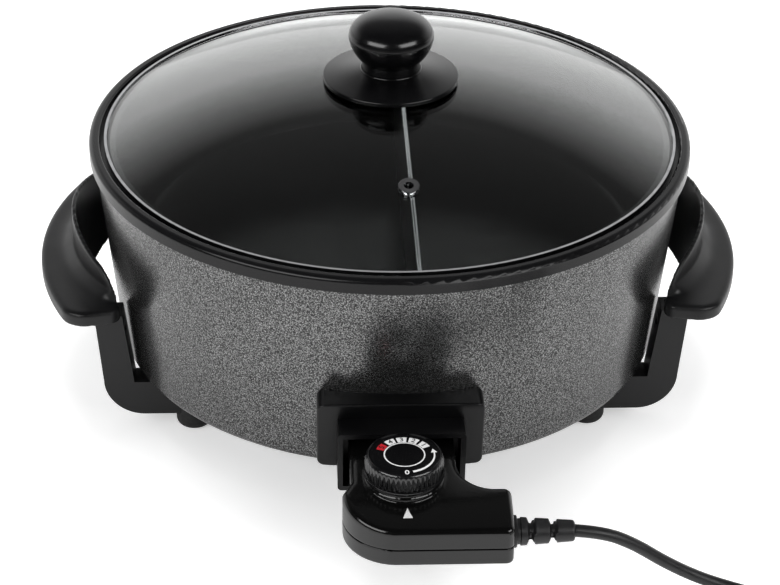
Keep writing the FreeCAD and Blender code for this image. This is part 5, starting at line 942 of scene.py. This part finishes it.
def addDialPrint():
    work = bmesh.new()
    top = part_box("dial_face")[1][2]
    thick = dialPrintSettings["thickness"] * mm
    line = dialPrintSettings["lineWidth"]
    white, red, black = 0, 1, 2
    radius = dialPrintSettings["ringRadius"]
    steps = dialPrintSettings["ringSteps"]
    for start in (0, 180):
        addSlab(work, arcBand(radius, (line, line), start, start + 180, steps, top), thick)
    radius = dialPrintSettings["blockRadius"]
    steps = dialPrintSettings["blockSteps"]
    length, depth = dialPrintSettings["blockSize"]
    span = math.degrees(length / radius) / 2
    for number, angle in enumerate(dialPrintSettings["blockAngles"]):
        block = arcBand(radius, (depth, depth), angle - span, angle + span, steps, top)
        addSlab(work, block, thick, red if number == 0 else white)
        place = dialPoint(radius, angle, top + thick)
        turn = math.radians(angle - 90)
        addDigit(work, str(5 - number), dialPrintSettings["digitSize"], place, turn, thick, black)
    radius = dialPrintSettings["arrowRadius"]
    steps = dialPrintSettings["arrowSteps"]
    start = dialPrintSettings["arrowStart"]
    end = dialPrintSettings["arrowEnd"]
    addSlab(work, arcBand(radius, (dialPrintSettings["arrowTail"], line), start, end, steps, top), thick)
    half = dialPrintSettings["headWidth"] / 2
    head = [(radius + half, end), (radius, end + dialPrintSettings["headAngle"]), (radius - half, end)]
    addSlab(work, [dialPoint(*corner, top) for corner in head], thick)
    zero = dialPoint(dialPrintSettings["zeroRadius"], dialPrintSettings["zeroAngle"], top)
    addDigit(work, "0", dialPrintSettings["zeroSize"], zero, 0, thick, white)
    inks = [grainedFinish(name) for name in ("whiteInk", "redInk", "blackInk")]
    finishPiece("dialPrint", work, inks, "dial")


markSettings = {
    "middle": (0.7, -250.0),
    "width": 5.2,
    "length": 7.0,
    "crownTop": 69.5,  # the cover's top falls away from the dial towards the front
    "crownPlace": 206.0,
    "crownSweep": 440.7,
    "lift": 0.05,
    "thickness": 0.08,
}


def crownHeight(along):
    drop = (abs(along) - markSettings["crownPlace"]) ** 2 / markSettings["crownSweep"]
    return markSettings["crownTop"] - drop + markSettings["lift"]


# the small triangle on the cover that the dial is read against
def addPointerMark():
    work = bmesh.new()
    across, along = markSettings["middle"]
    half = markSettings["width"] / 2
    reach = markSettings["length"] / 2
    corners = [(across - half, along - reach), (across + half, along - reach), (across, along + reach)]
    places = [(x * mm, y * mm, crownHeight(y) * mm) for x, y in corners]
    addSlab(work, places, markSettings["thickness"] * mm)
    finishPiece("pointerMark", work, [grainedFinish("greyInk")], "controller")


# Stage

floorSettings = {
    "size": 12.0,
    "colour": "#f4f4f4",
    "roughness": 0.35,
    "gloss": 0.3,
    "glow": 0.4,  # seen by the camera and through glass
    "mirroredGlow": 0.2,  # share of the glow that is seen in reflections
    "near": 0.6,  # in reflections the floor fades to the dark room between these distances
    "far": 1.0,
    "frontStart": 0.2,  # behind the object it stays pale, and the change lies between these places along Y
    "frontEnd": 0.6,
}


def addFloor():
    work = bmesh.new()
    bmesh.ops.create_grid(work, x_segments=1, y_segments=1, size=floorSettings["size"] / 2)
    floor = newObject("paleFloor", work)
    gloss = {"Roughness": floorSettings["roughness"], "Specular IOR Level": floorSettings["gloss"]}
    material, tree, shader, place = startMaterial("paleFloor", {**gloss, "Emission Color": (1, 1, 1, 1)})
    path = addNode(tree, "ShaderNodeLightPath").outputs
    reach = addNode(tree, "ShaderNodeVectorMath", {0: place}, operation="LENGTH").outputs["Value"]
    along = addNode(tree, "ShaderNodeSeparateXYZ", {"Vector": place}).outputs["Y"]
    distance = {"Value": reach, "From Min": floorSettings["near"], "From Max": floorSettings["far"]}
    dim = addNode(tree, "ShaderNodeMapRange", distance)
    side = {"Value": along, "From Min": floorSettings["frontStart"], "From Max": floorSettings["frontEnd"]}
    front = addNode(tree, "ShaderNodeMapRange", {**side, "To Min": 1.0, "To Max": 0.0})
    for factor in (front, path["Is Glossy Ray"]):
        dim = addNode(tree, "ShaderNodeMath", {0: dim, 1: factor}, operation="MULTIPLY")
    tones = {"Factor": dim, 6: linear(floorSettings["colour"]), 7: (0, 0, 0, 1)}
    toned = addNode(tree, "ShaderNodeMix", tones, data_type="RGBA").outputs[2]
    glow = addNode(tree, "ShaderNodeMath", {0: 1.0, 1: dim}, operation="SUBTRACT")
    steps = [
        ("MULTIPLY", floorSettings["mirroredGlow"]),
        ("MULTIPLY", path["Is Glossy Ray"]),
        ("MAXIMUM", path["Is Transmission Ray"]),
        ("MAXIMUM", path["Is Camera Ray"]),
        ("MULTIPLY", floorSettings["glow"]),
    ]
    for operation, value in steps:
        glow = addNode(tree, "ShaderNodeMath", {0: glow, 1: value}, operation=operation)
    setSockets(tree, shader, {"Base Color": toned, "Emission Strength": glow})
    floor.data.materials.append(material)


roomSettings = {
    "byReflection": {  # brightness as it lights the object, and as it shows in reflections
        "front": (0.2, 0.04),  # the camera's side is dim, and almost black in reflections
        "back": (1.0, 1.2),  # the backdrop is overexposed, so it mirrors brighter than white
        "start": (-0.75, 0.1),  # Y of the direction in which front starts to turn into back
        "end": (0.1, 0.8),
    },
    "fill": 0.75,  # share of that brightness that lights the object
    "high": 0.12,  # share in reflections and through glass, above the backdrop
    "backdropTop": (0.3, 0.6),  # Z of the direction in which the backdrop fades to that
}


# White to the camera. In reflections a bright backdrop stands behind the object, and the front is dark.
def addWorld():
    world = bpy.data.worlds.new("whiteRoom")
    bpy.context.scene.world = world
    world.use_nodes = True
    tree = world.node_tree
    tree.nodes.clear()
    direction = addNode(tree, "ShaderNodeTexCoord").outputs["Generated"]
    axes = addNode(tree, "ShaderNodeSeparateXYZ", {"Vector": direction}).outputs
    path = addNode(tree, "ShaderNodeLightPath").outputs
    room = {}
    for name, (plain, mirrored) in roomSettings["byReflection"].items():
        ends = {"Value": path["Is Glossy Ray"], "To Min": plain, "To Max": mirrored}
        room[name] = addNode(tree, "ShaderNodeMapRange", ends)
    depth = {"Value": axes["Y"], "From Min": room["start"], "From Max": room["end"]}
    front = addNode(tree, "ShaderNodeMapRange", {**depth, "To Min": room["front"], "To Max": room["back"]})
    start, end = roomSettings["backdropTop"]
    fade = {"Value": axes["Z"], "From Min": start, "From Max": end}
    backdrop = addNode(tree, "ShaderNodeMapRange", {**fade, "To Min": 1.0, "To Max": roomSettings["high"]})
    rays = {0: path["Is Glossy Ray"], 1: path["Is Transmission Ray"]}
    seen = addNode(tree, "ShaderNodeMath", rays, operation="MAXIMUM")
    fill = {"Value": seen, "To Min": roomSettings["fill"], "To Max": backdrop}
    share = addNode(tree, "ShaderNodeMapRange", fill)
    light = addNode(tree, "ShaderNodeMath", {0: front, 1: share}, operation="MULTIPLY")
    white = {"Value": path["Is Camera Ray"], "To Min": light, "To Max": 1.0}
    strength = addNode(tree, "ShaderNodeMapRange", white)
    background = addNode(tree, "ShaderNodeBackground", {"Color": (1, 1, 1, 1), "Strength": strength})
    addNode(tree, "ShaderNodeOutputWorld", {"Surface": background})


softboxTarget = (0, 0, 0.1)
softboxSettings = {  # sizes in metres, power in watts; mirrored ones show in reflections
    "topBox": {"place": (0.0, 0.3, 1.7), "size": (1.4, 1.0), "power": 18, "mirrored": False},
    "leftBox": {"place": (-1.15, -1.2, 0.98), "size": (1.5, 0.7), "power": 16, "mirrored": True},
    "rightBox": {"place": (1.15, -1.15, 0.98), "size": (1.4, 0.7), "power": 14, "mirrored": True},
}


def addSoftbox(name, box):
    light = bpy.data.lights.new(name, "AREA")
    light.shape = "RECTANGLE"
    light.size, light.size_y = box["size"]
    light.energy = box["power"]
    lamp = bpy.data.objects.new(name, light)
    lamp.location = box["place"]
    direction = Vector(softboxTarget) - Vector(box["place"])
    lamp.rotation_euler = direction.to_track_quat("-Z", "Y").to_euler()
    lamp.visible_glossy = box["mirrored"]
    lamp.visible_transmission = box["mirrored"]
    bpy.context.scene.collection.objects.link(lamp)


def addStage():
    addFloor()
    addWorld()
    for name, box in softboxSettings.items():
        addSoftbox(name, box)
    bpy.context.scene.view_settings.view_transform = "Standard"


addCamera()
finishOf = dressNodes()
print("finishes given")
addKnob(finishOf["lid_knob"])
addKnobBase(finishOf["knob_base"])
for side in ("left", "right"):
    node = side + "_handle"
    addMoulding(side + "Handle", node, finishOf[node], "base", "handle")
for half in ("cover", "base"):
    node = "controller_" + half
    name = "controller" + half.title()
    addMoulding(name, node, finishOf[node], "controller", "shell")
print("knob, handles and controller shells modelled")
addDial(finishOf["dial_knob"])
addCollar(finishOf["controller_cover"])
addStrainRelief(finishOf["strain_relief"])
addInletPlate(finishOf["inlet_housing"])
print("dial, collar, strain relief and inlet plate modelled")
addCord(finishOf["strain_relief"])
print("cord laid")
addDialPrint()
addPointerMark()
print("printed marks made")
addStage()
print("stage made")
